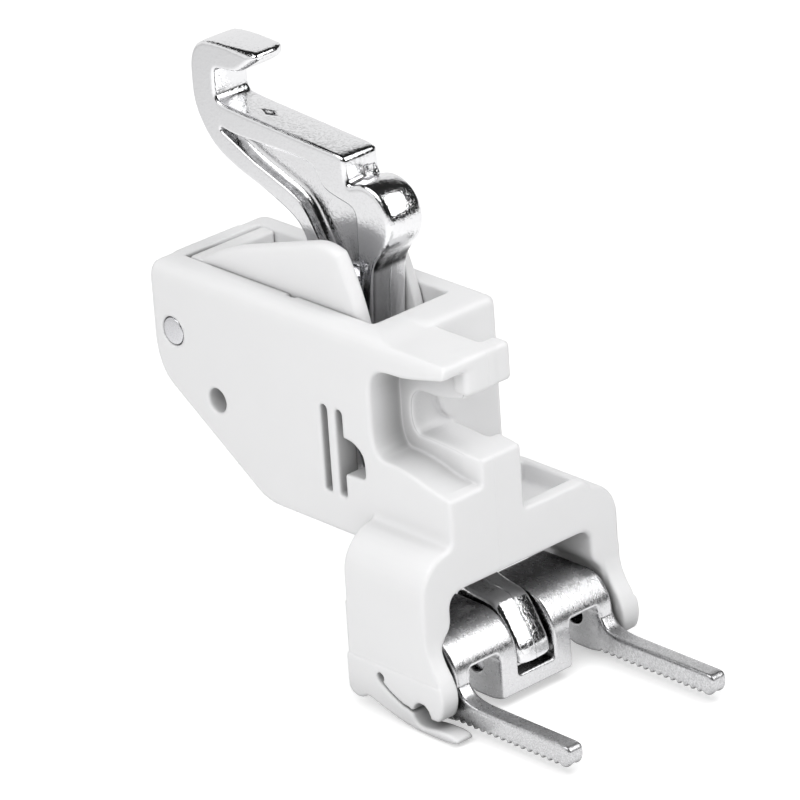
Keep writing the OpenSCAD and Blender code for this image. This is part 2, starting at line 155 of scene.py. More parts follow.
def brick(x, y, z, low, high, r):
    """Box between two corners with all edges rounded to r: distance to the box shrunk by r, less r."""
    q = [np.abs(v - (lo + hi) / 2) - (hi - lo) / 2 + r for v, lo, hi in zip((x, y, z), low, high)]
    outer = np.sqrt(np.maximum(q[0], 0) ** 2 + np.maximum(q[1], 0) ** 2 + np.maximum(q[2], 0) ** 2)
    return outer + np.minimum(np.maximum(np.maximum(q[0], q[1]), q[2]), 0) - r


# Surface of a distance field

CORNERS = np.array([[i, j, k] for i in (0, 1) for j in (0, 1) for k in (0, 1)])
EDGES = np.array([[a, b] for a in range(8) for b in range(a + 1, 8)
                  if np.abs(CORNERS[a] - CORNERS[b]).sum() == 1])


def sample(grid, place):
    """Value of a grid at places given in cells, weighted linearly between the eight corners."""
    base = np.clip(place.astype(int), 0, np.array(grid.shape) - 2)
    part = place - base
    total = 0
    for corner in CORNERS:
        weight = np.prod(np.where(corner, part, 1 - part), axis=1)
        i, j, k = (base + corner).T
        total = total + weight * grid[i, j, k]
    return total


def skin(field, low, high, cell):
    """Points, quads and normals of the surface where a distance field is zero.

    The box from low to high is cut into cubes. Each cube that the surface crosses gets one
    point, the mean of the crossings on its edges, moved twice along the gradient onto the
    surface. Each grid edge that is crossed joins the points of its four cubes to a quad. A
    point's normal is the gradient of the field there."""
    counts = np.ceil((np.asarray(high) - low) / cell).astype(int) + 1
    x, y, z = ((low[n] + cell * np.arange(counts[n])).astype(np.float32) for n in range(3))
    value = field(x[:, None, None], y[None, :, None], z[None, None, :])
    inside = value < 0
    total = np.zeros(tuple(counts - 1), np.uint8)
    for i, j, k in CORNERS:
        total += inside[i:i + counts[0] - 1, j:j + counts[1] - 1, k:k + counts[2] - 1]
    cubes = np.argwhere((total > 0) & (total < 8))
    at = (cubes[:, None] + CORNERS[None]).reshape(-1, 3).T
    corner_value = value[tuple(at)].reshape(-1, 8)
    a = corner_value[:, EDGES[:, 0]]
    b = corner_value[:, EDGES[:, 1]]
    crossed = (a < 0) != (b < 0)
    t = np.where(crossed, a / np.where(crossed, a - b, 1), 0)
    on_edge = CORNERS[EDGES[:, 0]][None] + t[..., None] * (CORNERS[EDGES[:, 1]] - CORNERS[EDGES[:, 0]])[None]
    mean = (on_edge * crossed[..., None]).sum(1) / crossed.sum(1)[:, None]
    place = cubes + mean
    slope = np.gradient(value, cell)
    for _ in range(2):
        gradient = np.stack([sample(s, place) for s in slope], 1)
        size2 = np.maximum((gradient ** 2).sum(1), 0.2)
        step = gradient * (sample(value, place) / size2)[:, None] / cell
        place = np.clip(place - np.clip(step, -0.5, 0.5), cubes, cubes + 1)
    normal = np.stack([sample(s, place) for s in slope], 1)
    normal /= np.maximum(np.linalg.norm(normal, axis=1), 1e-9)[:, None]
    number = np.full(tuple(counts - 1), -1, np.int32)
    number[tuple(cubes.T)] = np.arange(len(cubes))
    quads = []
    for axis in range(3):
        one, two = [(1, 2), (2, 0), (0, 1)][axis]
        shift = np.zeros(3, int)
        shift[axis] = 1
        near = inside[tuple(slice(0, n - s) for n, s in zip(counts, shift))]
        far = inside[tuple(slice(s, n) for n, s in zip(counts, shift))]
        edge = np.argwhere(near != far)
        edge = edge[(edge[:, one] > 0) & (edge[:, two] > 0)]
        edge = edge[(edge[:, one] < counts[one] - 1) & (edge[:, two] < counts[two] - 1)]
        ring = []
        for d1, d2 in ((1, 1), (0, 1), (0, 0), (1, 0)):
            cube = edge.copy()
            cube[:, one] -= d1
            cube[:, two] -= d2
            ring.append(number[tuple(cube.T)])
        quad = np.stack(ring, 1)
        leaves = near[tuple(edge.T)]
        quad[leaves] = quad[leaves][:, ::-1]
        quads.append(quad)
    quads = np.concatenate(quads)[:, ::-1]
    return np.asarray(low) + cell * place, quads, normal


def merge_flat(points, quads, normals, low, block, bend=0.003, step=0.004):
    """Points and faces of a surface with its flat stretches thinned out.

    Points are counted into cubes of the given size. Where all normals in a cube agree within
    bend and all points lie within step of one plane, the points become one, their mean, and
    faces that lose a corner become triangles or go."""
    key = np.floor((points - low) / block).astype(np.int64)
    key = (key[:, 0] * 4096 + key[:, 1]) * 4096 + key[:, 2]
    _, home, count = np.unique(key, return_inverse=True, return_counts=True)
    home = home.ravel()
    mean = np.stack([np.bincount(home, points[:, n]) for n in range(3)], 1) / count[:, None]
    lean = np.stack([np.bincount(home, normals[:, n]) for n in range(3)], 1) / count[:, None]
    lean /= np.maximum(np.linalg.norm(lean, axis=1), 1e-9)[:, None]
    turn = np.zeros(len(count))
    np.maximum.at(turn, home, np.linalg.norm(normals - lean[home], axis=1))
    off = np.zeros(len(count))
    np.maximum.at(off, home, np.abs(((points - mean[home]) * lean[home]).sum(1)))
    flat_home = (turn < bend) & (off < step)
    joins = flat_home[home]
    target = np.where(joins, home, len(count) + np.arange(len(points)))
    used, number = np.unique(target, return_inverse=True)
    number = number.ravel()
    of_block = used < len(count)
    single = used[~of_block] - len(count)
    new_points = np.empty((len(used), 3))
    new_normals = np.empty((len(used), 3))
    new_points[of_block] = mean[used[of_block]]
    new_normals[of_block] = lean[used[of_block]]
    new_points[~of_block] = points[single]
    new_normals[~of_block] = normals[single]
    quads = number[quads]
    ahead = np.roll(quads, -1, 1)
    same = quads == ahead
    crossed = (quads[:, 0] == quads[:, 2]) | (quads[:, 1] == quads[:, 3])
    whole = quads[(same.sum(1) == 0) & ~crossed]
    short = (same.sum(1) == 1) & ~crossed
    first = np.argmax(same[short], 1)
    order = (first[:, None] + np.array([1, 2, 3])) % 4
    triangles = np.take_along_axis(quads[short], order, 1)
    return new_points, whole.tolist() + triangles.tolist(), new_normals


def add_skin(name, field, low, high, cell, block=0.0):
    """Mesh object of a distance field's surface, in metres, its normals taken from the field.

    Where block is above zero, flat stretches are thinned out in cubes of that size."""
    points, faces, normals = skin(field, low, high, cell)
    if block > 0:
        points, faces, normals = merge_flat(points, faces, normals, np.asarray(low), block)
    mesh = bpy.data.meshes.new(name)
    mesh.from_pydata(points * MM, [], faces)
    mesh.validate()
    mesh.polygons.foreach_set("use_smooth", np.ones(len(mesh.polygons), bool))
    mesh.normals_split_custom_set_from_vertices(normals)
    piece = bpy.data.objects.new(name, mesh)
    bpy.context.scene.collection.objects.link(piece)
    return piece


# Outlines, X and Z unless said otherwise

BOX_SIDE = [(BOX_FRONT, BOX_TOP), (-36.2, BOX_TOP), (-36.2, 22.4), (-35.3, 19.85), (-22.8, 11.35),
            (BOX_FRONT, 11.35)]
BOX_SIDE_REACH = [0.9, 2.1, 1.2, 1.4, 1.5, 0.3]
HOLLOW = [(OPEN_FRONT, 34), (-33.75, 34), (-33.75, 28.2), (-38, 28.2), (-38, 21.6), (-34.3, 20.9),
          (-22.3, 12.95), (OPEN_FRONT, 12.95)]
PASSAGE = [(-19.6, 14), (-19.6, 10), (-7.4, 10), (-7.4, 12), (-10.0, 15.6), (-10.5, 15.6)]
TONGUE = [(-12, 27), (-12, BOX_TOP), (-8.2, BOX_TOP), (-6.1, 30.45), (FRONT_X, 30.45), (FRONT_X, 27)]
RECESS = [(3, 18.1), (-2.16, 19.0), (-3.34, 19.4), (-5.6, 19.85), (-8.5, 19.85), (-8.5, 28.0),
          (-4.1, 28.2), (3, 29.8)]
RECESS_REACH = [0.1, 0.6, 0.6, 1.1, 2.8, 2.6, 1.2, 0.1]
SLOT = [(3, 20.6), (-2.03, 21.25), (-5.1, 21.42), (-7.1, 21.42), (-7.1, 25.42), (-3.4, 25.4), (3, 27.1)]
SLOT_REACH = [0.1, 1.2, 0.5, 2.4, 2.4, 1.0, 0.1]
SLOT_ACROSS = [(-9, 19), (3, 19), (3, 20.2), (0.2, 21.0), (-1.05, 22.1), (-1.65, 23.4), (-1.65, 27),
               (-9, 27)]
COLUMN_FLOOR = [(-5.1, 21.42), (-2.03, 21.25), (1.8, 20.75)]
BACK_CHANNEL = [(-14, 7), (-14, 13), (-7.4, 11.35), (-5, 10.2), (-5, 7)]
SKIRT = [(BACK_X, 8), (BACK_X, 3.2), (-9.1, 2.95), (-9.1, 0.1), (-8.9, -0.4), (-8.35, -0.75),
         (-7.75, -0.85), (-7.1, -0.6), (-6.7, -0.3), (-4.48, -0.95), (-2.64, -1.4), (-0.9, -1.65),
         (1.08, -1.7), (3.1, -1.62), (4.25, -1.42), (3.95, -1.0), (3.0, -0.86), (1.6, -0.92),
         (0.5, -1.06), (-0.3, -1.06), (-0.8, -0.8), (-1.1, -0.2), (-1.05, 0), (1.9, -0.1),
         (2.3, 0.2), (2.6, 1.0), (2.7, 1.8), (2.6, 2.6), (2.2, 3.5), (1.5, 4.5), (1.0, 5.5),
         (FRONT_X, 6.5), (FRONT_X, 8)]
LATCH = [(-0.7, 0.05), (-2.45, 0.36), (-3.9, 1.05), (-4.55, 1.5), (-5.1, 1.95), (-5.3, 1.6),
         (-4.7, 1.25), (-4.0, 0.8), (-2.5, 0.1), (-0.7, -0.3)]
SLIT_POCKET = [(-12.8, 20.5), (-11.2, 20.6), (-10.0, 19.9), (-9.65, 19.1), (-9.65, 17.35),
               (-12.8, 17.2)]
SLIT_TOOTH = [(-13.2, 20.35), (-12.15, 19.5), (-12.15, 18.7), (-13.2, 17.65)]
ARCH = [(-9.6, -4), (-9.6, 5.7), (-8.3, 7.2), (-8.3, 10.1), (8.3, 10.1), (8.3, 7.2), (9.6, 5.7),
        (9.6, -4)]
ARCH_REACH = [0.1, 0.9, 0.7, 1.5, 1.5, 0.7, 0.9, 0.1]
CHEEK = [(-33.35, 22.3), (-33.3, 30.95), (-31.9, 30.95), (-28.85, 32.7), (-23.3, 34.42),
         (-19.3, 35.6), (-16.0, 36.62), (-13.6, 36.1), (-9, 34), (-9, 23.2), (-22, 22.0)]
CHEEK_REACH = [0.5, 0.6, 0.8, 3, 3, 2, 1.6, 1.6, 0.5, 0.5, 2]
FAR_CHEEK = [(-33.35, 22.3), (-33.3, 29.6), (-29.4, 29.8), (-26.6, 31.2), (-23.0, 33.0),
             (-19.3, 34.6), (-15.4, 35.4), (-13.4, 34.9), (-12, 33.9), (-9, 31), (-9, 23.2), (-22, 22.0)]
WEB = [(-33.3, 28.0), (-33.3, 30.95), (-31.6, 30.95), (-31.6, 28.0)]
ARM = [
    (-34.95, 46.4), (-34.9, 47.6), (-34.5, 48.7), (-33.7, 49.55), (-32.5, 49.95),
    (-28.0, 49.95), (-26.6, 49.95), (-26.2, 49.5), (-26.9, 48.95), (-28.34, 48.02), (-29.2, 47.68),
    (-31.4, 47.55), (-31.8, 47.35), (-31.95, 46.9), (-32.0, 45.2), (-31.85, 44.7), (-31.4, 44.35),
    (-25.0, 43.9), (-18.6, 43.45), (-16.6, 43.31), (-16.05, 43.12), (-15.91, 42.7),
    (-15.88, 41.3), (-15.6, 40.7), (-15.1, 40.3), (-14.6, 40.22),
    (-13.0, 38.0), (-11.9, 35.4), (-12.75, 34.4), (-13.2, 33.35), (-13.5, 30.0),
    (-13.8, 26.0), (-13.9, 22.0), (-13.6, 18.0), (-12.9, 14.6), (-11.8, 12.0),
    (-10.2, 10.0), (-8.0, 8.6), (-5.5, 7.5), (-3.6, 6.9), (-1.6, 6.75),
    (-0.8, 6.5), (-0.1, 5.9), (1.65, 3.1), (1.85, 2.3), (1.95, 1.5), (1.8, 1.3),
    (0.1, 1.25), (-0.6, 0.6), (-1.25, 0.35), (-2.1, 0.7), (-3.2, 1.9), (-5.4, 3.6),
    (-8.8, 4.9), (-12.0, 6.9), (-14.6, 10.0), (-16.4, 14.0), (-17.9, 20.0),
    (-19.6, 27.0), (-21.42, 34.18),
    (-21.88, 35.07), (-22.49, 35.82), (-23.54, 36.46), (-25.27, 37.23), (-27.29, 37.98),
    (-29.2, 38.57), (-30.72, 39.21), (-32.16, 39.96), (-33.32, 41.03), (-34.05, 42.11),
    (-34.54, 43.01), (-34.93, 44.3)]
ARM_PANEL = [(-31.5, 42.05), (-27.56, 40.18), (-23.04, 38.56), (-21.84, 37.95), (-20.93, 36.99),
             (-19.86, 35.26), (-18.6, 33.0), (-18.6, 30.6), (-15.25, 30.6), (-15.1, 36.0),
             (-15.05, 38.2), (-15.4, 38.8), (-16.9, 39.1), (-18.4, 39.45), (-19.2, 40.0),
             (-19.55, 40.8), (-20.1, 41.45), (-21.7, 41.7), (-25.0, 41.75), (-29.8, 41.75)]
ARM_PANEL_REACH = [0.2] + [0.6] * 18 + [1.0]
EAR = [(1.9, -0.95), (0.5, -1.2), (-1.6, -1.2), (-2.6, -0.6), (-3.0, 0.6), (-3.0, 2.6),
       (-2.2, 3.4), (1.2, 3.6), (1.9, 2.0)]


def arc(centre, radius, start, end, steps=9):
    """Points of a circular arc between two angles in degrees, centre + radius (cos, sin)."""
    angle = np.radians(np.linspace(start, end, steps))
    return np.asarray(centre) + radius * np.stack([np.cos(angle), np.sin(angle)], 1)


def front_outline():
    """Block and column seen from the front, Y and Z: two round shoulders, a column with a fillet at
    its foot on the near side, and the low rim of the pocket on the far side."""
    near_arc = arc((-7.8, 10.5), 3.7, 180, 96)
    foot = arc((-8.25, 14.776), 0.6, 276, 360, 5)
    far_arc = arc((7.8, 10.5), 3.7, 78, 0)
    column = [(NEAR_Y, 21.7), (COLUMN_FAR, 21.7), (COLUMN_FAR, 14.85), (7.9, 14.85)]
    corners = np.vstack([(-BLOCK_HALF, 3.1), near_arc, foot, column, far_arc, (BLOCK_HALF, 3.1)])
    reach = [0.01] + [0.0] * (len(near_arc) + len(foot)) + [0.3, 0.3, 0.4, 0.6]
    reach += [0.0] * len(far_arc) + [0.01]
    return soft_outline(corners, reach)


def box_cross():
    """Cross outline of the box, Y and Z, its near top edge softer than the far one."""
    return soft_outline([(NEAR_Y, 3), (FAR_Y, 3), (FAR_Y, BOX_TOP), (NEAR_Y, BOX_TOP)],
                        [0.1, 0.1, 0.7, 2.0])


def housing_field(x, y, z):
    """Distance to the moulded holder.

    The box is its side outline within its cross outline. Block and column are one front outline
    between two planes. Tongue, upper column, tab and skirts are added, then the hollow, arch,
    recess, slot, pocket, bores and slits are taken away, each edge rounded by its own radius."""
    cross = flat(y, z, box_cross())
    box = both(flat(x, z, soft_outline(BOX_SIDE, BOX_SIDE_REACH)), span(y, NEAR_Y, FAR_Y), 0.8)
    box = np.maximum(box, cross)
    slope = 30.2 - 0.24 * (x + 6.15) + 0.9 * np.clip((y + 3.2) / 1.8, 0, 1)
    box = less(box, np.maximum(slope - z, y + 1.3), 0.3)
    bridge = both(both(-35.75 - x, z - BOX_TOP, 1.0), span(y, NEAR_IN, 2.35), 0.3)
    box = np.minimum(box, both(bridge, both(x + 33, 27.5 - z), 0.2))
    slot_side = flat(x, z, soft_outline(SLOT, SLOT_REACH))
    slot = both(slot_side, flat(y, z, soft_outline(SLOT_ACROSS, 1.0)), 0.25)
    slot = np.minimum(slot, np.maximum(slot_side, -5.85 - x))
    jaw = both(both(x + 0.5, span(y, -5, -1.45), 0.3), both(-8.15 - x, span(z, 25.1, 28.9)))
    walls = less(np.minimum(box, jaw), slot, 0.35)
    floor = z - np.interp(x, *zip(*COLUMN_FLOOR))
    lower = both(both(flat(y, z, front_outline()), span(x, BACK_X, FRONT_X), 0.3), floor, 0.35)
    lower = less(lower, brick(x, y, z, (-12, -0.4, 19), (-1.8, 3, 24), 0.3), 0.3)
    tongue = flat(x, z, soft_outline(TONGUE, [0.1, 0.1, 0.9, 0.9, 0.6, 0.3]))
    tongue = np.maximum(both(both(tongue, NEAR_Y - y, 0.4), y + 1.45, 0.35), cross)
    body = np.minimum(np.minimum(walls, lower), tongue)
    hollow = both(flat(x, z, soft_outline(HOLLOW, [0.5, 0.2, 0.3, 0.1, 0.1, 1, 1, 0.6])),
                  span(y, NEAR_IN, FAR_IN), 0.3)
    hollow = np.minimum(hollow, both(flat(x, z, np.array(PASSAGE)), np.abs(y) - 2.7, 0.3))
    body = less(body, hollow, 0.18)
    body = less(body, both(disc(x, z, (-19.7, BOX_TOP), 0.5), span(y, NEAR_IN - 0.35, -4)), 0.05)
    recess_side = flat(x, z, soft_outline(RECESS, RECESS_REACH))
    body = less(body, both(recess_side, y + 4.15, 0.04), 0.32)
    lean = math.radians(12)
    facet = (y + 4.15) * math.cos(lean) - (x + 1.0) * math.sin(lean)
    body = less(body, both(both(facet, np.maximum(recess_side, z - 21.7)), -1.0 - x), 0.1)
    tab = brick(x, y, z, (-1.1, -4.9, 26.9), (FRONT_X, 0.3, 30.45), 0.5)
    body = either(body, tab, 0.2)
    pocket = brick(x, y, z, (BOX_FRONT, COLUMN_FAR, 13.2), (-0.45, 7.3, 18), 0.2)
    body = less(body, pocket, 0.2)
    width = np.abs(y)
    skirt = both(flat(x, z, soft_outline(SKIRT, 0.35)), span(width, CLIP_IN, CLIP_OUT), 0.2)
    skirt = less(skirt, both(BLOCK_HALF - width, 3.1 - z), 0.03)
    body = np.minimum(body, skirt)
    arch = both(flat(y, z, soft_outline(ARCH, ARCH_REACH)), -7.6 - x, 0.4)
    body = less(body, arch, 0.4)
    body = less(body, brick(x, y, z, (-14, -CLIP_IN, -6), (-6.95, CLIP_IN, 7.6), 0.3), 0.2)
    body = less(body, both(flat(x, z, np.array(BACK_CHANNEL)), width - 2.7, 0.3), 0.15)
    latch = np.minimum(np.minimum(disc(x, z, (0, 0), 1.04), disc(x, z, (-4.95, 1.95), 0.42)),
                       flat(x, z, soft_outline(LATCH, 0.3)))
    body = less(body, both(latch, 8.6 - width), 0.12)
    body = less(body, disc(x, z, REAR_PIN, 1.33), 0.1)
    near_wall = y + 4.3
    body = less(body, both(disc(x, z, (-28.2, 19.5), 1.1), near_wall), 0.2)
    slits = 1e3
    for middle in (-14.43, -12.57):
        slit = soft_outline([(middle - 0.42, 15.0), (middle + 0.42, 15.0), (middle + 0.42, 23.05),
                             (middle - 0.42, 23.05)], [0.25, 0.25, 0.5, 0.5])
        slits = np.minimum(slits, flat(x, z, slit))
    widening = less(flat(x, z, soft_outline(SLIT_POCKET, [0.1, 0.8, 0.9, 0.7, 0.5, 0.1])),
                    flat(x, z, soft_outline(SLIT_TOOTH, 0.3)))
    slits = np.minimum(slits, widening)
    return less(body, both(slits, near_wall), 0.2)


def rocker_field(x, y, z):
    """Distance to the rocker: two cheeks, their front edge an arc about the rear pin, joined by a
    web, with hubs and bores. The near cheek's outer edge is rounded more than its inner one."""
    hub = disc(x, z, REAR_PIN, 2.2)
    side = both(flat(x, z, soft_outline(CHEEK, CHEEK_REACH)), disc(x, z, REAR_PIN, 22.7), 0.1)
    near = both(both(either(side, hub, 0.3), -5.2 - y, 0.75), y + 4.05, 0.15)
    side = both(flat(x, z, soft_outline(FAR_CHEEK, 0.8)), disc(x, z, REAR_PIN, 21.2), 0.5)
    far = both(both(either(side, hub, 0.3), y - 3.2, 0.4), 2.1 - y, 0.15)
    web = both(flat(x, z, soft_outline(WEB, [0.1, 0.5, 0.3, 0.1])), span(y, -5.15, 3.2), 0.2)
    hubs = np.minimum(span(y, -5.15, -2.2), span(y, 1.1, 3.2))
    hubs = both(hub, hubs, 0.2)
    boss = both(disc(x, z, PIVOT, 1.75), span(y, -4.3, -3.2), 0.1)
    body = np.minimum(np.minimum(near, far), np.minimum(np.minimum(web, hubs), boss))
    body = less(body, disc(x, z, REAR_PIN, 1.29), 0.1)
    return less(body, both(disc(x, z, PIVOT, 1.02), -4.65 - y), 0.1)


def arm_field(x, y, z):
    """Distance to the cast drive arm.

    Its side outline and the round head lie between two faces. The outline is crowned by a
    multiple of y^2, more on head and toe. The hook's tip is rounded in plan, more on the far
    side. A panel is sunk into each face, and two bores go across."""
    width = np.abs(y)
    toe = np.clip((x + 4.5) / 3, 0, 1) * np.clip((10 - z) / 2, 0, 1)
    side = flat(x, z, soft_outline(ARM, 9.0, 5)) + (0.012 + 0.04 * toe) * width ** 2
    head = disc(x, z, (-13.85, 38.05), 3.3) + 0.05 * width ** 2
    side = either(side, head, 0.35)
    rim = 0.28 + 0.15 * np.clip((x + 17) / 1.5, 0, 1)
    rim = rim + 0.4 * np.clip((x + 30) / 3, 0, 1) * np.clip((z - 46) / 2, 0, 1)
    body = both(side, width - 2.0 + 0.05 * toe, rim)
    tip = np.maximum(both(x + 26.4, y - 2.3, 2.2), both(x + 26.4, -2.3 - y, 0.8))
    body = both(body, np.where(z > 46, tip, -9.0), 0.2)
    mark = (np.abs(x + 27.1) / 1.1 + np.abs(y + 0.1) / 0.5 + np.abs(z - 44.0) / 0.35 - 1) * 0.25
    body = less(body, mark)
    body = less(body, brick(x, y, z, (-16.05, 0.15, 41.0), (-15, 1.5, 41.75), 0.1), 0.06)
    panel = flat(x, z, soft_outline(ARM_PANEL, ARM_PANEL_REACH, 5)) - 0.18 * (width - 0.85)
    body = less(body, both(panel, 0.85 - width, 0.55), 0.1)
    body = less(body, disc(x, z, PIVOT, 1.94), 0.1)
    return less(body, disc(x, z, PLATE_AXIS, 0.9), 0.1)


def finger_outline():
    """Side outline of one finger, with a rounded tip and a row of saw teeth below."""
    top = [(0.9, 3.0), (1.6, 3.0), (1.93, 2.3), (2.5, 1.35), (3.9, 0.95), (FINGER_TIP, 0.95),
           (FINGER_TIP, -0.35), (14.75, -1.0), (14.1, -1.05)]
    start = 13.1 - TOOTH_PITCH * np.arange(16)
    teeth = np.stack([start + 0.68, np.full(16, -0.78), start + 0.36, np.full(16, -1.07),
                      start + 0.12, np.full(16, -1.07), start, np.full(16, -0.78)], 1).reshape(-1, 2)
    corners = top + [tuple(p) for p in teeth] + [(0.35, -0.8), (0.35, 2.3)]
    reach = [0.1, 0.1, 0.3, 1.0, 0.9, 0.75, 0.5, 0.3, 0.2] + [0.12] * 64 + [0.2, 0.1]
    return soft_outline(corners, reach, 5)


def plate_field(x, y, z):
    """Distance to the bent steel plate.

    The saddle is all that lies within half the thickness of a line that runs level, turns down
    through an arc and goes straight down. Its front has two notches and a window, ears fold back
    to the pin beside them, and a toothed finger goes forward from each end."""
    width = np.abs(y)
    bend = np.hypot(np.maximum(x - BEND[0], 0), np.maximum(z - BEND[1], 0)) - BEND_R + PLATE_T / 2
    strip = np.abs(bend) - PLATE_T / 2
    saddle = both(both(strip, -5.6 - x, 0.25), width - PLATE_HALF, 0.35)
    saddle = both(saddle, both(width - PLATE_HALF, z - 6.2, 1.3))
    low = np.minimum(2.6 - z, both(width - 4.2, -0.95 - z, 0.3))
    low = np.minimum(low, both(7.7 - width, 0.6 - z))
    saddle = both(saddle, low, 0.2)
    ears = np.minimum(span(width, 3.0, 4.2), span(width, 7.55, 9.2))
    ears = both(flat(x, z, soft_outline(EAR, 0.5)), ears, 0.15)
    fingers = both(flat(x, z, finger_outline()), span(width, PLATE_HALF - FINGER_W, PLATE_HALF), 0.26)
    body = np.minimum(np.minimum(saddle, ears), fingers)
    notch = both(both(span(width, 4.2, 7.55), z - 3.4, 0.35), -3 - x)
    body = less(body, notch, 0.2)
    groove = both(np.abs(width - 8.45) - 0.28, z + 0.72, 0.12)
    body = less(body, both(groove, 1.0 - x), 0.12)
    window = both(both(width - 2.14, 0.65 - z, 0.3), x - 3)
    body = less(body, window, 0.2)
    return less(body, disc(x, z, PLATE_AXIS, 0.94), 0.1)


# Meshes from grids of points

def add_mesh(name, points, faces):
    """Mesh object from points in millimetres, its faces turned outward where its volume is negative."""
    mesh = bpy.data.meshes.new(name)
    mesh.from_pydata(np.asarray(points) * MM, [], faces)
    build = bmesh.new()
    build.from_mesh(mesh)
    if build.calc_volume(signed=True) < 0:
        bmesh.ops.reverse_faces(build, faces=build.faces)
    build.to_mesh(mesh)
    build.free()
    mesh.validate()
    mesh.polygons.foreach_set("use_smooth", np.ones(len(mesh.polygons), bool))
    piece = bpy.data.objects.new(name, mesh)
    bpy.context.scene.collection.objects.link(piece)
    return piece


def closed_grid(rings, count):
    """Faces over rings of count points each: quads between neighbouring rings, and a pole of
    triangles at either end, whose two points follow the rings."""
    row, col = np.meshgrid(np.arange(rings - 1), np.arange(count), indexing="ij")
    across = (col + 1) % count
    quads = np.stack([row * count + col, row * count + across, (row + 1) * count + across,
                      (row + 1) * count + col], -1).reshape(-1, 4)
    one = np.arange(count)
    two = (one + 1) % count
    first = rings * count
    start = np.stack([np.full(count, first), two, one], 1)
    last = (rings - 1) * count
    end = np.stack([np.full(count, first + 1), last + one, last + two], 1)
    return quads.tolist() + start.tolist() + end.tolist()


def add_lathe(name, centre, profile, count=64):
    """Round piece about an axis along Y: each profile point (radius, y) becomes a ring of points
    centre + radius (cos, sin), and the ends close on the axis."""
    profile = np.asarray(profile, float)
    angle = np.linspace(0, 2 * np.pi, count, endpoint=False)
    x = centre[0] + profile[:, :1] * np.cos(angle)
    z = centre[1] + profile[:, :1] * np.sin(angle)
    y = np.broadcast_to(profile[:, 1:], x.shape)
    points = np.stack([x, y, z], -1).reshape(-1, 3)
    poles = [(centre[0], profile[0, 1], centre[1]), (centre[0], profile[-1, 1], centre[1])]
    return add_mesh(name, np.vstack([points, poles]), closed_grid(len(profile), count))


def add_wire(name, path, radius, count=14):
    """Round wire along a path: at each point a ring of that radius in the plane across the path,
    its first side found as the cross product of the path's direction and Y."""
    ahead = np.gradient(path, axis=0)
    ahead /= np.linalg.norm(ahead, axis=1)[:, None]
    side = np.cross(ahead, (0, 1, 0))
    side /= np.linalg.norm(side, axis=1)[:, None]
    other = np.cross(side, ahead)
    angle = np.linspace(0, 2 * np.pi, count, endpoint=False)
    ring = side[:, None] * np.cos(angle)[:, None] + other[:, None] * np.sin(angle)[:, None]
    points = (path[:, None] + radius * ring).reshape(-1, 3)
    return add_mesh(name, np.vstack([points, path[:1], path[-1:]]), closed_grid(len(path), count))


def torsion_path(centre, radius, low, high, first, last, turns):
    """Path of a torsion spring about an axis along Y.

    A leg comes straight from the first anchor to the tangent point of the coil circle, the coil
    is a helix from y = low to y = high, and the other leg leaves along the tangent to the last
    anchor. The tangent angle is the anchor's angle plus or less arccos(radius / distance)."""
    reach0 = np.hypot(*first)
    reach1 = np.hypot(*last)
    start = np.arctan2(first[1], first[0]) + np.arccos(radius / reach0)
    end = np.arctan2(last[1], last[0]) - np.arccos(radius / reach1)
    end += 2 * np.pi * (np.ceil((start - end) / (2 * np.pi)) + turns)
    t = np.linspace(0, 1, int(40 * (turns + 1)))
    angle = start + (end - start) * t
    coil = np.stack([centre[0] + radius * np.cos(angle), low + (high - low) * t,
                     centre[1] + radius * np.sin(angle)], 1)
    along = np.linspace(0, 1, 8)[:-1, None]
    leg0 = np.array([centre[0] + first[0], low, centre[1] + first[1]])
    leg1 = np.array([centre[0] + last[0], high, centre[1] + last[1]])
    return np.vstack([leg0 + along * (coil[0] - leg0), coil, (leg1 + along * (coil[-1] - leg1))[::-1]])


# Materials

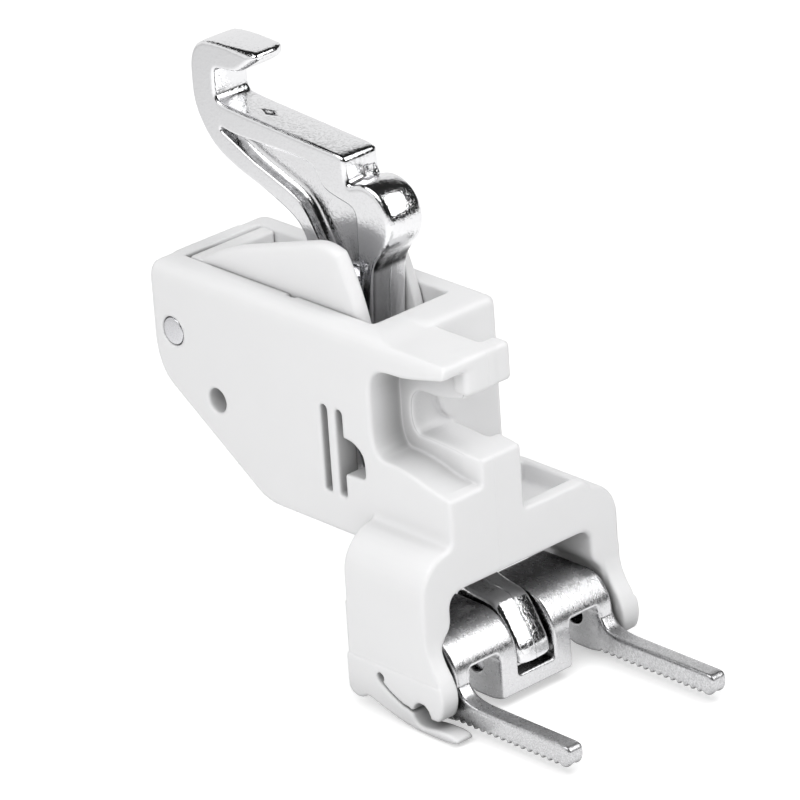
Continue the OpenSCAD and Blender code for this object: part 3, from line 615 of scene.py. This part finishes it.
class Nodes:
    """Short calls for the nodes of one material."""

    def __init__(self, name):
        self.material = bpy.data.materials.new(name)
        self.material.use_nodes = True
        self.tree = self.material.node_tree
        self.bsdf = self.tree.nodes["Principled BSDF"]
        self.place = self.tree.nodes.new("ShaderNodeTexCoord").outputs["Object"]

    def join(self, value, socket):
        """Links an output, or sets a plain value."""
        if isinstance(value, bpy.types.NodeSocket):
            self.tree.links.new(value, socket)
        else:
            socket.default_value = value

    def math(self, operation, a, b=0.0, clamp=False):
        node = self.tree.nodes.new("ShaderNodeMath")
        node.operation = operation
        node.use_clamp = clamp
        self.join(a, node.inputs[0])
        self.join(b, node.inputs[1])
        return node.outputs[0]

    def stretch(self, scale, place=None):
        """Object place multiplied by a number for each axis, per metre."""
        node = self.tree.nodes.new("ShaderNodeVectorMath")
        node.operation = "MULTIPLY"
        self.join(place or self.place, node.inputs[0])
        node.inputs[1].default_value = scale
        return node.outputs[0]

    def noise(self, scale, detail=2.0, rough=0.5):
        """Smooth noise from 0 to 1 with so many waves per metre along X, Y and Z."""
        node = self.tree.nodes.new("ShaderNodeTexNoise")
        node.inputs["Scale"].default_value = 1.0
        node.inputs["Detail"].default_value = detail
        node.inputs["Roughness"].default_value = rough
        self.join(self.stretch(scale), node.inputs["Vector"])
        return node.outputs["Fac"]

    def band(self, value, low, high, to_low, to_high):
        """Maps low..high to to_low..to_high and stops there."""
        node = self.tree.nodes.new("ShaderNodeMapRange")
        node.interpolation_type = "SMOOTHSTEP"
        self.join(value, node.inputs["Value"])
        for socket, number in zip(("From Min", "From Max", "To Min", "To Max"), (low, high, to_low, to_high)):
            self.join(number, node.inputs[socket])
        return node.outputs["Result"]

    def axis(self, index):
        """One coordinate of the object place, in metres."""
        node = self.tree.nodes.new("ShaderNodeSeparateXYZ")
        self.join(self.place, node.inputs[0])
        return node.outputs[index]

    def facing(self, index):
        """One coordinate of the object's own normal."""
        node = self.tree.nodes.new("ShaderNodeSeparateXYZ")
        self.join(self.place.node.outputs["Normal"], node.inputs[0])
        return node.outputs[index]

    def within(self, value, low, high):
        """1 where a value lies between two numbers, else 0."""
        return self.math("MULTIPLY", self.math("GREATER_THAN", value, low), self.math("LESS_THAN", value, high))

    def mix(self, factor, one, two):
        """Colour one where factor is 0 and two where it is 1."""
        node = self.tree.nodes.new("ShaderNodeMix")
        node.data_type = "RGBA"
        self.join(factor, node.inputs["Factor"])
        self.join(one, node.inputs[6])
        self.join(two, node.inputs[7])
        return node.outputs[2]

    def bump(self, height, distance, strength=1.0, below=None):
        """Raises the normal as a height of 0 to 1 times a distance in metres would."""
        node = self.tree.nodes.new("ShaderNodeBump")
        node.inputs["Distance"].default_value = distance
        node.inputs["Strength"].default_value = strength
        self.join(height, node.inputs["Height"])
        if below is not None:
            self.join(below, node.inputs["Normal"])
        return node.outputs["Normal"]

    def open_sky(self, reach):
        """How much of the surroundings within a reach in metres is open, from 0 to 1."""
        node = self.tree.nodes.new("ShaderNodeAmbientOcclusion")
        node.samples = 8
        node.inputs["Distance"].default_value = reach
        return node.outputs["AO"]

    def finish(self, **sockets):
        """Sets or links the shader's own sockets and gives the material back."""
        for name, value in sockets.items():
            self.join(value, self.bsdf.inputs[name.replace("_", " ")])
        return self.material


def shade(colour, factor):
    """A colour made lighter or darker, with full alpha."""
    return tuple(min(c * factor, 1.0) for c in colour[:3]) + (1.0,)


def plastic_material(name, colour, reach, deep, clear):
    """Moulded white plastic: slight cloudiness, a witness line of the mould, and painted shade: recesses are
    darkened where little of the surroundings within the given reach is open, on the near side from
    the given share on, and the near recess's wall more. The last number is how much light goes through thin walls."""
    n = Nodes(name)
    cloud = n.noise((220, 220, 220), 3)
    swell = n.noise((170, 170, 170), 1)
    line = n.math("ABSOLUTE", n.math("ADD", n.axis(1), 0.00245))
    ahead = n.math("GREATER_THAN", n.axis(0), 0.0006)
    line = n.math("MULTIPLY", n.band(line, 0.0, 0.00007, 1.0, 0.0), ahead)
    normal = n.bump(swell, 0.0003, 0.06)
    normal = n.bump(line, 0.00003, 0.6, normal)
    face = n.mix(cloud, shade(colour, 0.985), shade(colour, 1.01))
    # Painted shade: a darkened copy of the colour, used where little is open nearby.
    shadow = n.mix(cloud, shade(colour, 0.40), shade(colour, 0.42))
    # Painted shade on the wall of the near recess: faces turned forward, stronger toward the recess floor.
    groove = n.math("MULTIPLY", n.within(n.axis(0), -0.0097, -0.0002), n.within(n.axis(2), 0.0178, 0.03))
    groove = n.math("MULTIPLY", groove, n.band(n.axis(1), -0.0074, -0.0043, 0.0, 1.0))
    groove = n.math("MULTIPLY", groove, n.math("LESS_THAN", n.axis(1), -0.00405))
    groove = n.math("MULTIPLY", groove, n.band(n.facing(0), 0.2, 0.8, 0.25, 1.0))
    groove = n.math("MULTIPLY", groove, n.band(n.facing(1), -0.95, -0.75, 0.0, 1.0))
    face = n.mix(n.math("MULTIPLY", groove, deep), face, shade(colour, 0.45))
    # How strongly missing open sky turns into painted shade: strong on the near side and low down, weak on the far
    # side.
    full = n.math("MAXIMUM", n.band(n.axis(1), -0.0040, 0.0004, deep, 0.15),
                  n.band(n.axis(2), 0.0115, 0.0125, 0.9, 0.0))
    return n.finish(
        Base_Color=n.mix(n.band(n.open_sky(reach), 0.05, full, 0.0, 1.0), shadow, face),
        Roughness=n.band(cloud, 0.2, 0.8, 0.4, 0.42), Normal=normal, IOR=1.45,
        Subsurface_Weight=clear, Subsurface_Scale=0.0015, Subsurface_Radius=(1.0, 1.0, 1.0))


def chrome_material(colour):
    """Bright plating over a casting: wavy below, finely pitted, with a flash line along the middle.
    Painted shade darkens it where little is open nearby, by an amount set by height; painted dark
    reflections lie on the neck and on panel walls facing forward and up; the small mark on the beam is darkened to near
    black.
    """
    n = Nodes("plated_casting")
    wave = n.noise((520, 520, 520), 3, 0.6)
    pit = n.noise((3600, 3600, 3600), 3, 0.7)
    line = n.band(n.math("ABSOLUTE", n.axis(1)), 0.00002, 0.00009, 1.0, 0.0)
    line = n.math("MULTIPLY", line, n.math("GREATER_THAN", n.axis(0), -0.0162))
    line = n.math("MULTIPLY", line, n.band(n.axis(2), 0.0345, 0.0355, 1.0, 0.0))
    streak = n.noise((2600, 160, 2600), 2)
    inward = n.math("LESS_THAN", n.math("ABSOLUTE", n.axis(1)), 0.00188)
    normal = n.bump(wave, 0.00022, 0.04)
    normal = n.bump(n.math("MULTIPLY", streak, inward), 0.00003, 0.3, normal)
    normal = n.bump(n.band(pit, 0.4, 0.75, 0.0, 1.0), 0.00002, 0.4, normal)
    normal = n.bump(line, 0.00006, 1.0, normal)
    face = n.mix(n.band(pit, 0.3, 0.8, 0.0, 1.0), shade(colour, 1.0), shade(colour, 0.95))
    # Painted shade: a darkened copy of the plating, used where little is open nearby.
    painted_shade = n.mix(pit, shade(colour, 0.2), shade(colour, 0.3))
    # How strongly missing open sky turns into painted shade, by height: strong low on the arm, weak at the head,
    # stronger again at the hook.
    full = n.math("ADD", n.band(n.axis(2), 0.027, 0.0325, 0.7, 0.12), n.band(n.axis(2), 0.0435, 0.045, 0.0, 0.45))
    # Painted dark reflection on the neck just below the head.
    neck = n.band(n.math("ABSOLUTE", n.math("SUBTRACT", n.axis(2), 0.0343)), 0.0004, 0.0011, 1.0, 0.0)
    neck = n.math("MULTIPLY", neck, n.math("MULTIPLY", inward, n.math("GREATER_THAN", n.axis(0), -0.0138)))
    face = n.mix(n.math("MULTIPLY", neck, n.band(wave, 0.35, 0.5, 0.6, 1.0)), face, shade(colour, 0.08))
    # Painted dark reflection on panel walls facing forward and up.
    wall = n.math("MULTIPLY", n.band(n.facing(0), 0.2, 0.45, 0.0, 1.0), n.band(n.facing(2), 0.1, 0.3, 0.0, 1.0))
    wall = n.math("MULTIPLY", wall, n.within(n.axis(2), 0.03, 0.0422))
    wall = n.math("MULTIPLY", wall, n.math("LESS_THAN", n.axis(0), -0.0158))
    face = n.mix(n.math("MULTIPLY", wall, n.band(streak, 0.3, 0.7, 0.55, 0.95)), face, shade(colour, 0.35))
    mark = n.math("DIVIDE", n.math("ABSOLUTE", n.math("ADD", n.axis(0), 0.0271)), 0.0011)
    mark = n.math("ADD", mark, n.math("DIVIDE", n.math("ABSOLUTE", n.math("ADD", n.axis(1), 0.0001)), 0.0005))
    mark = n.math("MULTIPLY", n.band(mark, 0.8, 1.1, 1.0, 0.0), n.within(n.axis(2), 0.0433, 0.0446))
    face = n.mix(n.math("MULTIPLY", mark, n.band(pit, 0.3, 0.6, 0.5, 1.0)), face, shade(colour, 0.06))
    return n.finish(
        Base_Color=n.mix(n.band(n.open_sky(0.004), 0.1, full, 0.0, 1.0), painted_shade, face),
        Metallic=1.0, Roughness=n.band(wave, 0.3, 0.7, 0.06, 0.1), Normal=normal)


def steel_material(colour):
    """Tumbled steel sheet: fine peened grain and duller spots."""
    n = Nodes("tumbled_steel")
    grain = n.noise((7000, 7000, 7000), 3, 0.65)
    dent = n.noise((1800, 1800, 1800), 2, 0.5)
    normal = n.bump(grain, 0.00003, 0.3)
    normal = n.bump(dent, 0.00008, 0.08, normal)
    finger = n.band(n.axis(0), 0.0016, 0.0032, 0.0, 1.0)
    face = n.mix(grain, shade(colour, 0.9), shade(colour, 1.05))
    dull = n.mix(n.band(grain, 0.3, 0.7, 0.0, 1.0), shade(colour, 0.62), shade(colour, 0.95))
    face = n.mix(finger, face, dull)
    # Painted shade: a darkened copy of the steel, used where little is open nearby.
    painted_shade = n.mix(grain, shade(colour, 0.1), shade(colour, 0.15))
    # Painted dark reflection on the plate's top beneath the arch.
    dark_reflection_under_arch = n.math("MULTIPLY", n.band(n.axis(0), -0.0028, -0.0002, 1.0, 0.0), n.band(n.axis(2), 0.004, 0.005, 0.0, 0.8))
    face = n.mix(dark_reflection_under_arch, face, shade(colour, 0.12))
    rough = n.math("ADD", n.band(dent, 0.3, 0.7, 0.2, 0.3), n.math("MULTIPLY", finger, 0.06))
    return n.finish(
        Base_Color=n.mix(n.band(n.open_sky(0.0045), 0.2, 0.65, 0.0, 1.0), painted_shade, face),
        Metallic=1.0, Roughness=rough, Normal=normal)


def pin_material(colour, axis_at):
    """Turned steel: fine rings about an axis along Y at the given X and Z."""
    n = Nodes("turned_steel")
    across = n.math("SUBTRACT", n.axis(0), axis_at[0] * MM)
    up = n.math("SUBTRACT", n.axis(2), axis_at[1] * MM)
    radius = n.math("SQRT", n.math("ADD", n.math("MULTIPLY", across, across), n.math("MULTIPLY", up, up)))
    ring = n.math("SINE", n.math("MULTIPLY", radius, 2 * math.pi / 0.00009))
    grain = n.noise((5000, 5000, 5000), 2)
    normal = n.bump(ring, 0.000004, 0.35)
    normal = n.bump(grain, 0.00001, 0.3, normal)
    return n.finish(
        Base_Color=n.mix(grain, shade(colour, 0.92), shade(colour, 1.04)),
        Metallic=1.0, Roughness=n.band(grain, 0.3, 0.7, 0.24, 0.34), Normal=normal)


def wire_material(colour, name="spring_wire"):
    """Drawn wire: fine streaks along Y and a slightly uneven oil film."""
    n = Nodes(name)
    streak = n.noise((9000, 1500, 9000), 2)
    film = n.noise((700, 700, 700), 2)
    normal = n.bump(streak, 0.000008, 0.4)
    return n.finish(
        Base_Color=n.mix(film, shade(colour, 0.85), shade(colour, 1.08)),
        Metallic=1.0, Roughness=n.band(streak, 0.3, 0.7, 0.2, 0.32), Normal=normal)


# Settings

class FootHolderSettings(bpy.types.PropertyGroup):
    """Sizes and colours that the operators use."""

    holder_cell: FloatProperty(
        name="Holder cell", description="Size of the cubes that the moulded holder is worked out on",
        default=0.00018, min=0.0001, max=0.0004, unit="LENGTH", precision=5)
    metal_cell: FloatProperty(
        name="Metal cell", description="Size of the cubes that rocker, arm and plate are worked out on",
        default=0.00012, min=0.00008, max=0.0003, unit="LENGTH", precision=5)
    thinned: FloatProperty(
        name="Flat faces", description="Size of the faces on flat stretches",
        default=0.0006, min=0.0, max=0.002, unit="LENGTH", precision=5)
    pin_bevel: FloatProperty(
        name="Pin bevel", description="Bevel at the ends of the rear pin",
        default=0.00014, min=0.00005, max=0.0004, unit="LENGTH", precision=5)
    holder_colour: FloatVectorProperty(
        name="Holder", description="Colour of the white moulded plastic",
        default=(0.80, 0.80, 0.805), min=0.0, max=1.0, size=3, subtype="COLOR")
    chrome_colour: FloatVectorProperty(
        name="Arm", description="Colour of the plating on the drive arm",
        default=(0.77, 0.77, 0.78), min=0.0, max=1.0, size=3, subtype="COLOR")
    steel_colour: FloatVectorProperty(
        name="Plate", description="Colour of the feed plate's steel",
        default=(0.68, 0.68, 0.69), min=0.0, max=1.0, size=3, subtype="COLOR")
    pin_colour: FloatVectorProperty(
        name="Pins", description="Colour of pins, washers and clip",
        default=(0.62, 0.62, 0.64), min=0.0, max=1.0, size=3, subtype="COLOR")
    wire_colour: FloatVectorProperty(
        name="Springs", description="Colour of the spring wire",
        default=(0.42, 0.42, 0.44), min=0.0, max=1.0, size=3, subtype="COLOR")
    brass_colour: FloatVectorProperty(
        name="Brass", description="Colour of sleeve and bush",
        default=(0.72, 0.52, 0.24), min=0.0, max=1.0, size=3, subtype="COLOR")
    floor_colour: FloatVectorProperty(
        name="Floor", description="Colour of the floor",
        default=(0.86, 0.86, 0.86), min=0.0, max=1.0, size=3, subtype="COLOR")
    world_level: FloatProperty(
        name="Room light", description="Strength of the even light from all round",
        default=0.6, min=0.0, max=2.0)
    key_power: FloatProperty(
        name="Key lamp", description="Power of the large lamp in front",
        default=0.24, min=0.0, max=20.0, unit="POWER")
    fill_power: FloatProperty(
        name="Fill lamp", description="Power of the large lamp above",
        default=0.55, min=0.0, max=20.0, unit="POWER")


def dress(material, *nodes):
    """Gives CAD nodes a material in every slot they have."""
    for node in nodes:
        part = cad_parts[node]
        if not part.material_slots:
            part.data.materials.append(material)
        for place in part.material_slots:
            place.material = material


def place_piece(piece, material, body, slot, *nodes):
    """Finishes a piece: its material, the body it rides on, and the nodes it stands for, which are hidden. Its slot is
    not used.
    """
    piece.data.materials.append(material)
    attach(piece, body)
    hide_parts(*nodes)


class PieceOperator(bpy.types.Operator):
    """Common base of the operators that add a piece."""

    bl_options = {"REGISTER", "UNDO"}

    def execute(self, context):
        self.add(context.scene.foot_holder)
        return {"FINISHED"}


class HOLDER_OT_housing(PieceOperator):
    """Adds the white moulded holder"""

    bl_idname = "foot_holder.housing"
    bl_label = "Moulded holder"

    def add(self, settings):
        piece = add_skin("moulded_holder", housing_field, (-36.8, -12.2, -2.3), (4.9, 12.2, 31.5),
                         settings.holder_cell / MM, settings.thinned / MM)
        material = plastic_material("holder_plastic", settings.holder_colour, 0.007, 0.92, 0.08)
        place_piece(piece, material, "holder", "housing", "housing")


class HOLDER_OT_rocker(PieceOperator):
    """Adds the rocker with its two cheeks"""

    bl_idname = "foot_holder.rocker"
    bl_label = "Rocker"

    def add(self, settings):
        piece = add_skin("rocker_moulding", rocker_field, (-36, -5.6, 22), (-10, 3.7, 37.2),
                         settings.metal_cell / MM, settings.thinned / MM)
        material = plastic_material("rocker_plastic", settings.holder_colour, 0.002, 0.5, 0.5)
        place_piece(piece, material, "rocker", "rocker", "rocker")


class HOLDER_OT_drive_arm(PieceOperator):
    """Adds the plated drive arm with its hook"""

    bl_idname = "foot_holder.drive_arm"
    bl_label = "Drive arm"

    def add(self, settings):
        piece = add_skin("plated_drive_arm", arm_field, (-35.6, -2.4, -0.1), (2.5, 2.4, 50.4),
                         settings.metal_cell / MM, settings.thinned / MM)
        place_piece(piece, chrome_material(settings.chrome_colour), "arm", "arm", "drive_arm")


class HOLDER_OT_feed_plate(PieceOperator):
    """Adds the bent steel plate with its toothed fingers"""

    bl_idname = "foot_holder.feed_plate"
    bl_label = "Feed plate"

    def add(self, settings):
        piece = add_skin("toothed_feed_plate", plate_field, (-6.1, -9.7, -1.7), (15.7, 9.7, 6.7),
                         settings.metal_cell / MM, settings.thinned / MM)
        place_piece(piece, steel_material(settings.steel_colour), "plate", "plate", "feed_plate")


class HOLDER_OT_pins(PieceOperator):
    """Adds the rear pin, and finishes the small turned parts"""

    bl_idname = "foot_holder.pins"
    bl_label = "Pins and small parts"

    def add(self, settings):
        bevel = settings.pin_bevel / MM
        near, far, radius = NEAR_Y + 0.06, FAR_Y - 0.1, 1.25
        turn = np.radians(np.linspace(0, 90, 6))
        near_rim = np.stack([radius - bevel + bevel * np.sin(turn), near + bevel - bevel * np.cos(turn)], 1)
        far_rim = np.stack([radius - bevel + bevel * np.cos(turn), far - bevel + bevel * np.sin(turn)], 1)
        inner = np.linspace(0.1, radius - bevel, 9)[:-1]
        dome = 0.06 * (1 - (inner / radius) ** 2)
        near_face = np.stack([inner, near - dome], 1)
        far_face = np.stack([inner[::-1], far + dome[::-1]], 1)
        body = np.stack([np.full(10, radius), np.linspace(near + bevel, far - bevel, 12)[1:-1]], 1)
        profile = np.vstack([near_face, near_rim, body, far_rim, far_face])
        piece = add_lathe("rear_pin_turned", REAR_PIN, profile, 96)
        place_piece(piece, pin_material(settings.pin_colour, REAR_PIN), "holder", "pins", "rear_pin")
        small = wire_material(settings.pin_colour, "ground_steel")
        dress(small, "arm_pin", "arm_clip", "arm_bush", "plate_pin", "plate_ring_near",
              "plate_ring_far")
        dress(wire_material(settings.brass_colour, "turned_brass"), "rear_sleeve")


class HOLDER_OT_springs(PieceOperator):
    """Adds the three torsion springs"""

    bl_idname = "foot_holder.springs"
    bl_label = "Springs"

    def add(self, settings):
        material = wire_material(settings.wire_colour)
        path = torsion_path(REAR_PIN, 1.95, -1.83, 0.83, (4.8, -6.7), (2.2, 3.1), 5)
        place_piece(add_wire("lifting_spring", path, 0.215), material, "holder", "springs", "rocker_spring")
        path = torsion_path(PIVOT, 2.35, -3.8, -2.69, (-3.8, 2.6), (3.7, 3.6), 3)
        place_piece(add_wire("arm_return_spring", path, 0.16), material, "bush", "springs", "arm_spring")
        path = torsion_path(PLATE_AXIS, 1.2, 2.05, 2.53, (-1.85, 1.45), (1.45, 0.65), 2)
        place_piece(add_wire("plate_return_spring", path, 0.1), material, "arm", "springs", "plate_spring")


def seen_by_eye(n):
    """1 for rays from the camera, off gloss and through glass, else 0."""
    path = n.tree.nodes.new("ShaderNodeLightPath")
    seen = n.math("MAXIMUM", path.outputs["Is Camera Ray"], path.outputs["Is Glossy Ray"])
    return n.math("MAXIMUM", seen, path.outputs["Is Transmission Ray"])


def floor_material(colour, glow):
    """Pale matt floor. It lights the object as its own colour, and the eye sees it as white, part
    of it its own glow, so that the object's shadow stays and the open floor is plain white."""
    n = Nodes("floor")
    seen = seen_by_eye(n)
    grain = n.noise((60, 60, 60), 2)
    plain = n.mix(grain, shade(colour, 0.99), shade(colour, 1.0))
    return n.finish(Base_Color=n.mix(seen, plain, (0.8, 0.8, 0.8, 1.0)), Roughness=0.9,
                    Specular_IOR_Level=0.0, Emission_Color=(1.0, 1.0, 1.0, 1.0),
                    Emission_Strength=n.math("MULTIPLY", seen, glow))


def card_material(name, level, glow=0.0):
    """Matt studio card of one grey, faintly uneven, with a glow of its own where it stands in for a lamp; only gloss
    sees the cards, so that glow is a painted highlight.
    """
    n = Nodes(name)
    grain = n.noise((40, 40, 40), 2)
    return n.finish(Base_Color=n.mix(grain, (level * 0.9,) * 3 + (1.0,), (level * 1.1,) * 3 + (1.0,)),
                    Roughness=0.9, Specular_IOR_Level=0.0, Emission_Color=(1.0, 1.0, 1.0, 1.0),
                    Emission_Strength=glow)


def shaded_card_material(name, dark, light, from_x, to_x):
    """Matt card that goes from dark to light along its own X."""
    n = Nodes(name)
    part = n.band(n.axis(0), from_x, to_x, 0.0, 1.0)
    return n.finish(Base_Color=n.mix(part, (dark,) * 3 + (1.0,), (light,) * 3 + (1.0,)),
                    Roughness=0.9, Specular_IOR_Level=0.0)


def facing(place, target, spin=0.0):
    """Placement matrix at a place in metres, its minus Z axis toward the target."""
    back = (Vector(place) - Vector(target)).normalized()
    turn = back.to_track_quat("Z", "Y").to_matrix().to_4x4()
    return Matrix.Translation(place) @ turn @ Matrix.Rotation(spin, 4, "Z")


def add_card(name, points, faces, place, material):
    """Studio card from points about a place, in metres. Only gloss sees it."""
    mesh = bpy.data.meshes.new(name)
    mesh.from_pydata(points, [], faces)
    mesh.materials.append(material)
    card = bpy.data.objects.new(name, mesh)
    card.location = place
    bpy.context.scene.collection.objects.link(card)
    card.visible_camera = False
    card.visible_diffuse = False
    card.visible_shadow = False
    return card


def dome_patch(radius, azimuths, elevations, steps=12):
    """Part of a sphere between two azimuths from +X toward +Y and two elevations, in degrees:
    radius (cos e cos a, cos e sin a, sin e)."""
    a, e = np.meshgrid(np.radians(np.linspace(*azimuths, steps)), np.radians(np.linspace(*elevations, steps)),
                       indexing="ij")
    points = radius * np.stack([np.cos(e) * np.cos(a), np.cos(e) * np.sin(a), np.sin(e)], -1).reshape(-1, 3)
    i, j = np.meshgrid(np.arange(steps - 1), np.arange(steps - 1), indexing="ij")
    first = i * steps + j
    faces = np.stack([first, first + 1, first + steps + 1, first + steps], -1).reshape(-1, 4)
    return points, faces.tolist()


def mirrored_quad(distance, back, normals):
    """Four points at a distance where surfaces with the given normals mirror the camera's back
    direction b: 2 (n . b) n - b."""
    n = np.asarray(normals, float)
    n /= np.linalg.norm(n, axis=1)[:, None]
    b = np.asarray(back)
    return distance * (2 * (n @ b)[:, None] * n - b), [(0, 1, 2, 3)]


def add_lamp(name, place, target, size, power):
    """Square area lamp that faces its target."""
    lamp = bpy.data.lights.new(name, "AREA")
    lamp.shape = "SQUARE"
    lamp.size = size
    lamp.energy = power
    item = bpy.data.objects.new(name, lamp)
    item.matrix_world = facing(place, target)
    bpy.context.scene.collection.objects.link(item)
    return item


def camera_axes(azimuth, elevation, roll):
    """Right, up and back directions of the camera.

    Right is (cos a, sin a, 0), up (-sin e sin a, sin e cos a, cos e) and back
    (sin a cos e, -cos a cos e, sin e), the first two then turned by the roll."""
    a, e, t = (math.radians(v) for v in (azimuth, elevation, roll))
    right = Vector((math.cos(a), math.sin(a), 0))
    up = Vector((-math.sin(e) * math.sin(a), math.sin(e) * math.cos(a), math.cos(e)))
    back = Vector((math.sin(a) * math.cos(e), -math.cos(a) * math.cos(e), math.sin(e)))
    return right * math.cos(t) - up * math.sin(t), right * math.sin(t) + up * math.cos(t), back


class HOLDER_OT_stage(PieceOperator):
    """Adds floor, room light, lamps, studio cards and the camera"""

    bl_idname = "foot_holder.stage"
    bl_label = "Stage"

    def add(self, settings):
        scene = bpy.context.scene
        floor_mesh = bpy.data.meshes.new("floor")
        reach = 1.5
        level = -0.0019
        floor_mesh.from_pydata([(-reach, -reach, level), (reach, -reach, level), (reach, reach, level),
                                (-reach, reach, level)], [], [(0, 1, 2, 3)])
        floor_mesh.materials.append(floor_material(settings.floor_colour, 0.45))
        floor = bpy.data.objects.new("floor", floor_mesh)
        scene.collection.objects.link(floor)

        world = bpy.data.worlds.new("room")
        scene.world = world
        world.use_nodes = True
        tree = world.node_tree
        ground = tree.nodes["Background"]
        path = tree.nodes.new("ShaderNodeLightPath")
        seen = tree.nodes.new("ShaderNodeMath")
        seen.operation = "MAXIMUM"
        tree.links.new(path.outputs["Is Camera Ray"], seen.inputs[0])
        tree.links.new(path.outputs["Is Glossy Ray"], seen.inputs[1])
        also = tree.nodes.new("ShaderNodeMath")
        also.operation = "MAXIMUM"
        tree.links.new(seen.outputs[0], also.inputs[0])
        tree.links.new(path.outputs["Is Transmission Ray"], also.inputs[1])
        level_node = tree.nodes.new("ShaderNodeMapRange")
        level_node.inputs["To Min"].default_value = settings.world_level
        level_node.inputs["To Max"].default_value = 1.0
        tree.links.new(also.outputs[0], level_node.inputs["Value"])
        ground.inputs["Color"].default_value = (1, 1, 1, 1)
        tree.links.new(level_node.outputs["Result"], ground.inputs["Strength"])

        middle = Vector((-0.012, -0.001, 0.022))
        column = Vector((-0.003, -0.003, 0.022))
        key = add_lamp("key_lamp", column + Vector((0.075, -0.145, 0.15)), column, 0.16, settings.key_power)
        key.visible_glossy = False
        add_lamp("fill_lamp", middle + Vector((0.18, 0.12, 0.40)), middle, 0.3, settings.fill_power)

        right, up, back = camera_axes(48.45, 24.05, 4.0)
        # Dark dome patches that only gloss sees: painted dark reflections in the metal, faint in the plastic.
        dark = card_material("dark_reflection_card", 0.03)
        add_card("tent_right", *dome_patch(0.32, (-105, -10), (9, 90)), middle, dark)
        add_card("tent_front", *dome_patch(0.32, (-10, 15), (2, 90)), middle, dark)
        add_card("tent_corner", *dome_patch(0.32, (15, 62), (-2.5, 90)), middle, dark)
        add_card("tent_left", *dome_patch(0.32, (-215, -105), (34, 90)), middle, dark)
        add_card("tent_side", *dome_patch(0.32, (62, 105), (6, 90)), middle, dark)
        add_card("tent_behind", *dome_patch(0.32, (105, 145), (38, 90)), middle, dark)
        # Glowing cards that only gloss sees: painted highlights on the head, at the hook's corner and on plastic edges.
        white = card_material("painted_highlight_card", 0.9, 3.0)
        head_box = [(math.sin(math.radians(t)), lean, math.cos(math.radians(t)))
                    for t, lean in ((37, -0.2), (37, -0.02), (67, -0.02), (67, -0.21))]
        add_card("painted_highlight_behind", *mirrored_quad(0.29, back, head_box), middle, white)
        hook_box = [(0.1, -0.75, 0.62), (0.15, -0.5, 0.85), (0.5, -0.5, 0.75), (0.5, -0.72, 0.55)]
        add_card("painted_highlight_front", *mirrored_quad(0.29, back, hook_box), middle, white)
        # Dark card on the floor that only gloss sees: a painted dark reflection on the arm's neck.
        neck = [(-0.012, -0.008, 0), (0.012, -0.008, 0), (0.012, 0.008, 0), (-0.012, 0.008, 0)]
        add_card("neck_card", neck, [(0, 1, 2, 3)], (-0.003, 0.027, -0.0012), dark)
        # Grey sheet on the floor that only gloss sees: a painted reflection on the arm's near face, darker toward the
        # back.
        grey = shaded_card_material("reflected_grey_sheet", 0.96, 1.1, -0.02, 0.04)
        sheet = [(-0.3, -0.3, 0), (0.045, -0.3, 0), (0.045, 0.3, 0), (-0.3, 0.3, 0)]
        add_card("reflected_grey_sheet", sheet, [(0, 1, 2, 3)], (-0.12, -0.07, -0.0012), grey)

        camera_data = bpy.data.cameras.new("camera")
        camera_data.sensor_fit = "HORIZONTAL"
        camera_data.sensor_width = 36.0
        camera_data.lens = 270.0
        camera_data.clip_start = 0.01
        camera_data.clip_end = 10.0
        focal = 270.0 / 36.0 * 800
        anchor = Vector((OPEN_FRONT, -5.45, BOX_TOP)) * MM
        ray = right * ((372 - 400) / focal) - up * ((324 - 400) / focal) - back
        turn = Matrix((right, up, back)).transposed().to_4x4()
        camera = bpy.data.objects.new("camera", camera_data)
        camera.matrix_world = Matrix.Translation(anchor - ray * 0.5) @ turn
        scene.collection.objects.link(camera)
        scene.camera = camera
        scene.view_settings.view_transform = "Standard"


STEPS = (HOLDER_OT_housing, HOLDER_OT_rocker, HOLDER_OT_drive_arm, HOLDER_OT_feed_plate,
         HOLDER_OT_pins, HOLDER_OT_springs, HOLDER_OT_stage)


class VIEW3D_PT_foot_holder(bpy.types.Panel):
    """Buttons for each group of pieces"""

    bl_label = "Foot holder"
    bl_space_type = "VIEW_3D"
    bl_region_type = "UI"
    bl_category = "Foot holder"

    def draw(self, context):
        settings = context.scene.foot_holder
        for name in settings.bl_rna.properties.keys():
            if name not in {"rna_type", "name"}:
                self.layout.prop(settings, name)
        for step in STEPS:
            self.layout.operator(step.bl_idname)


CLASSES = (FootHolderSettings,) + STEPS + (VIEW3D_PT_foot_holder,)


def register():
    """Registers the classes and the settings."""
    for item in CLASSES:
        bpy.utils.register_class(item)
    bpy.types.Scene.foot_holder = PointerProperty(type=FootHolderSettings)


def unregister():
    """Takes the settings and the classes away again."""
    del bpy.types.Scene.foot_holder
    for item in reversed(CLASSES):
        bpy.utils.unregister_class(item)


def main():
    """Adds every group of pieces in order."""
    register()
    bpy.ops.foot_holder.housing()
    bpy.ops.foot_holder.rocker()
    bpy.ops.foot_holder.drive_arm()
    bpy.ops.foot_holder.feed_plate()
    bpy.ops.foot_holder.pins()
    bpy.ops.foot_holder.springs()
    bpy.ops.foot_holder.stage()


if __name__ == "__main__":
    main()
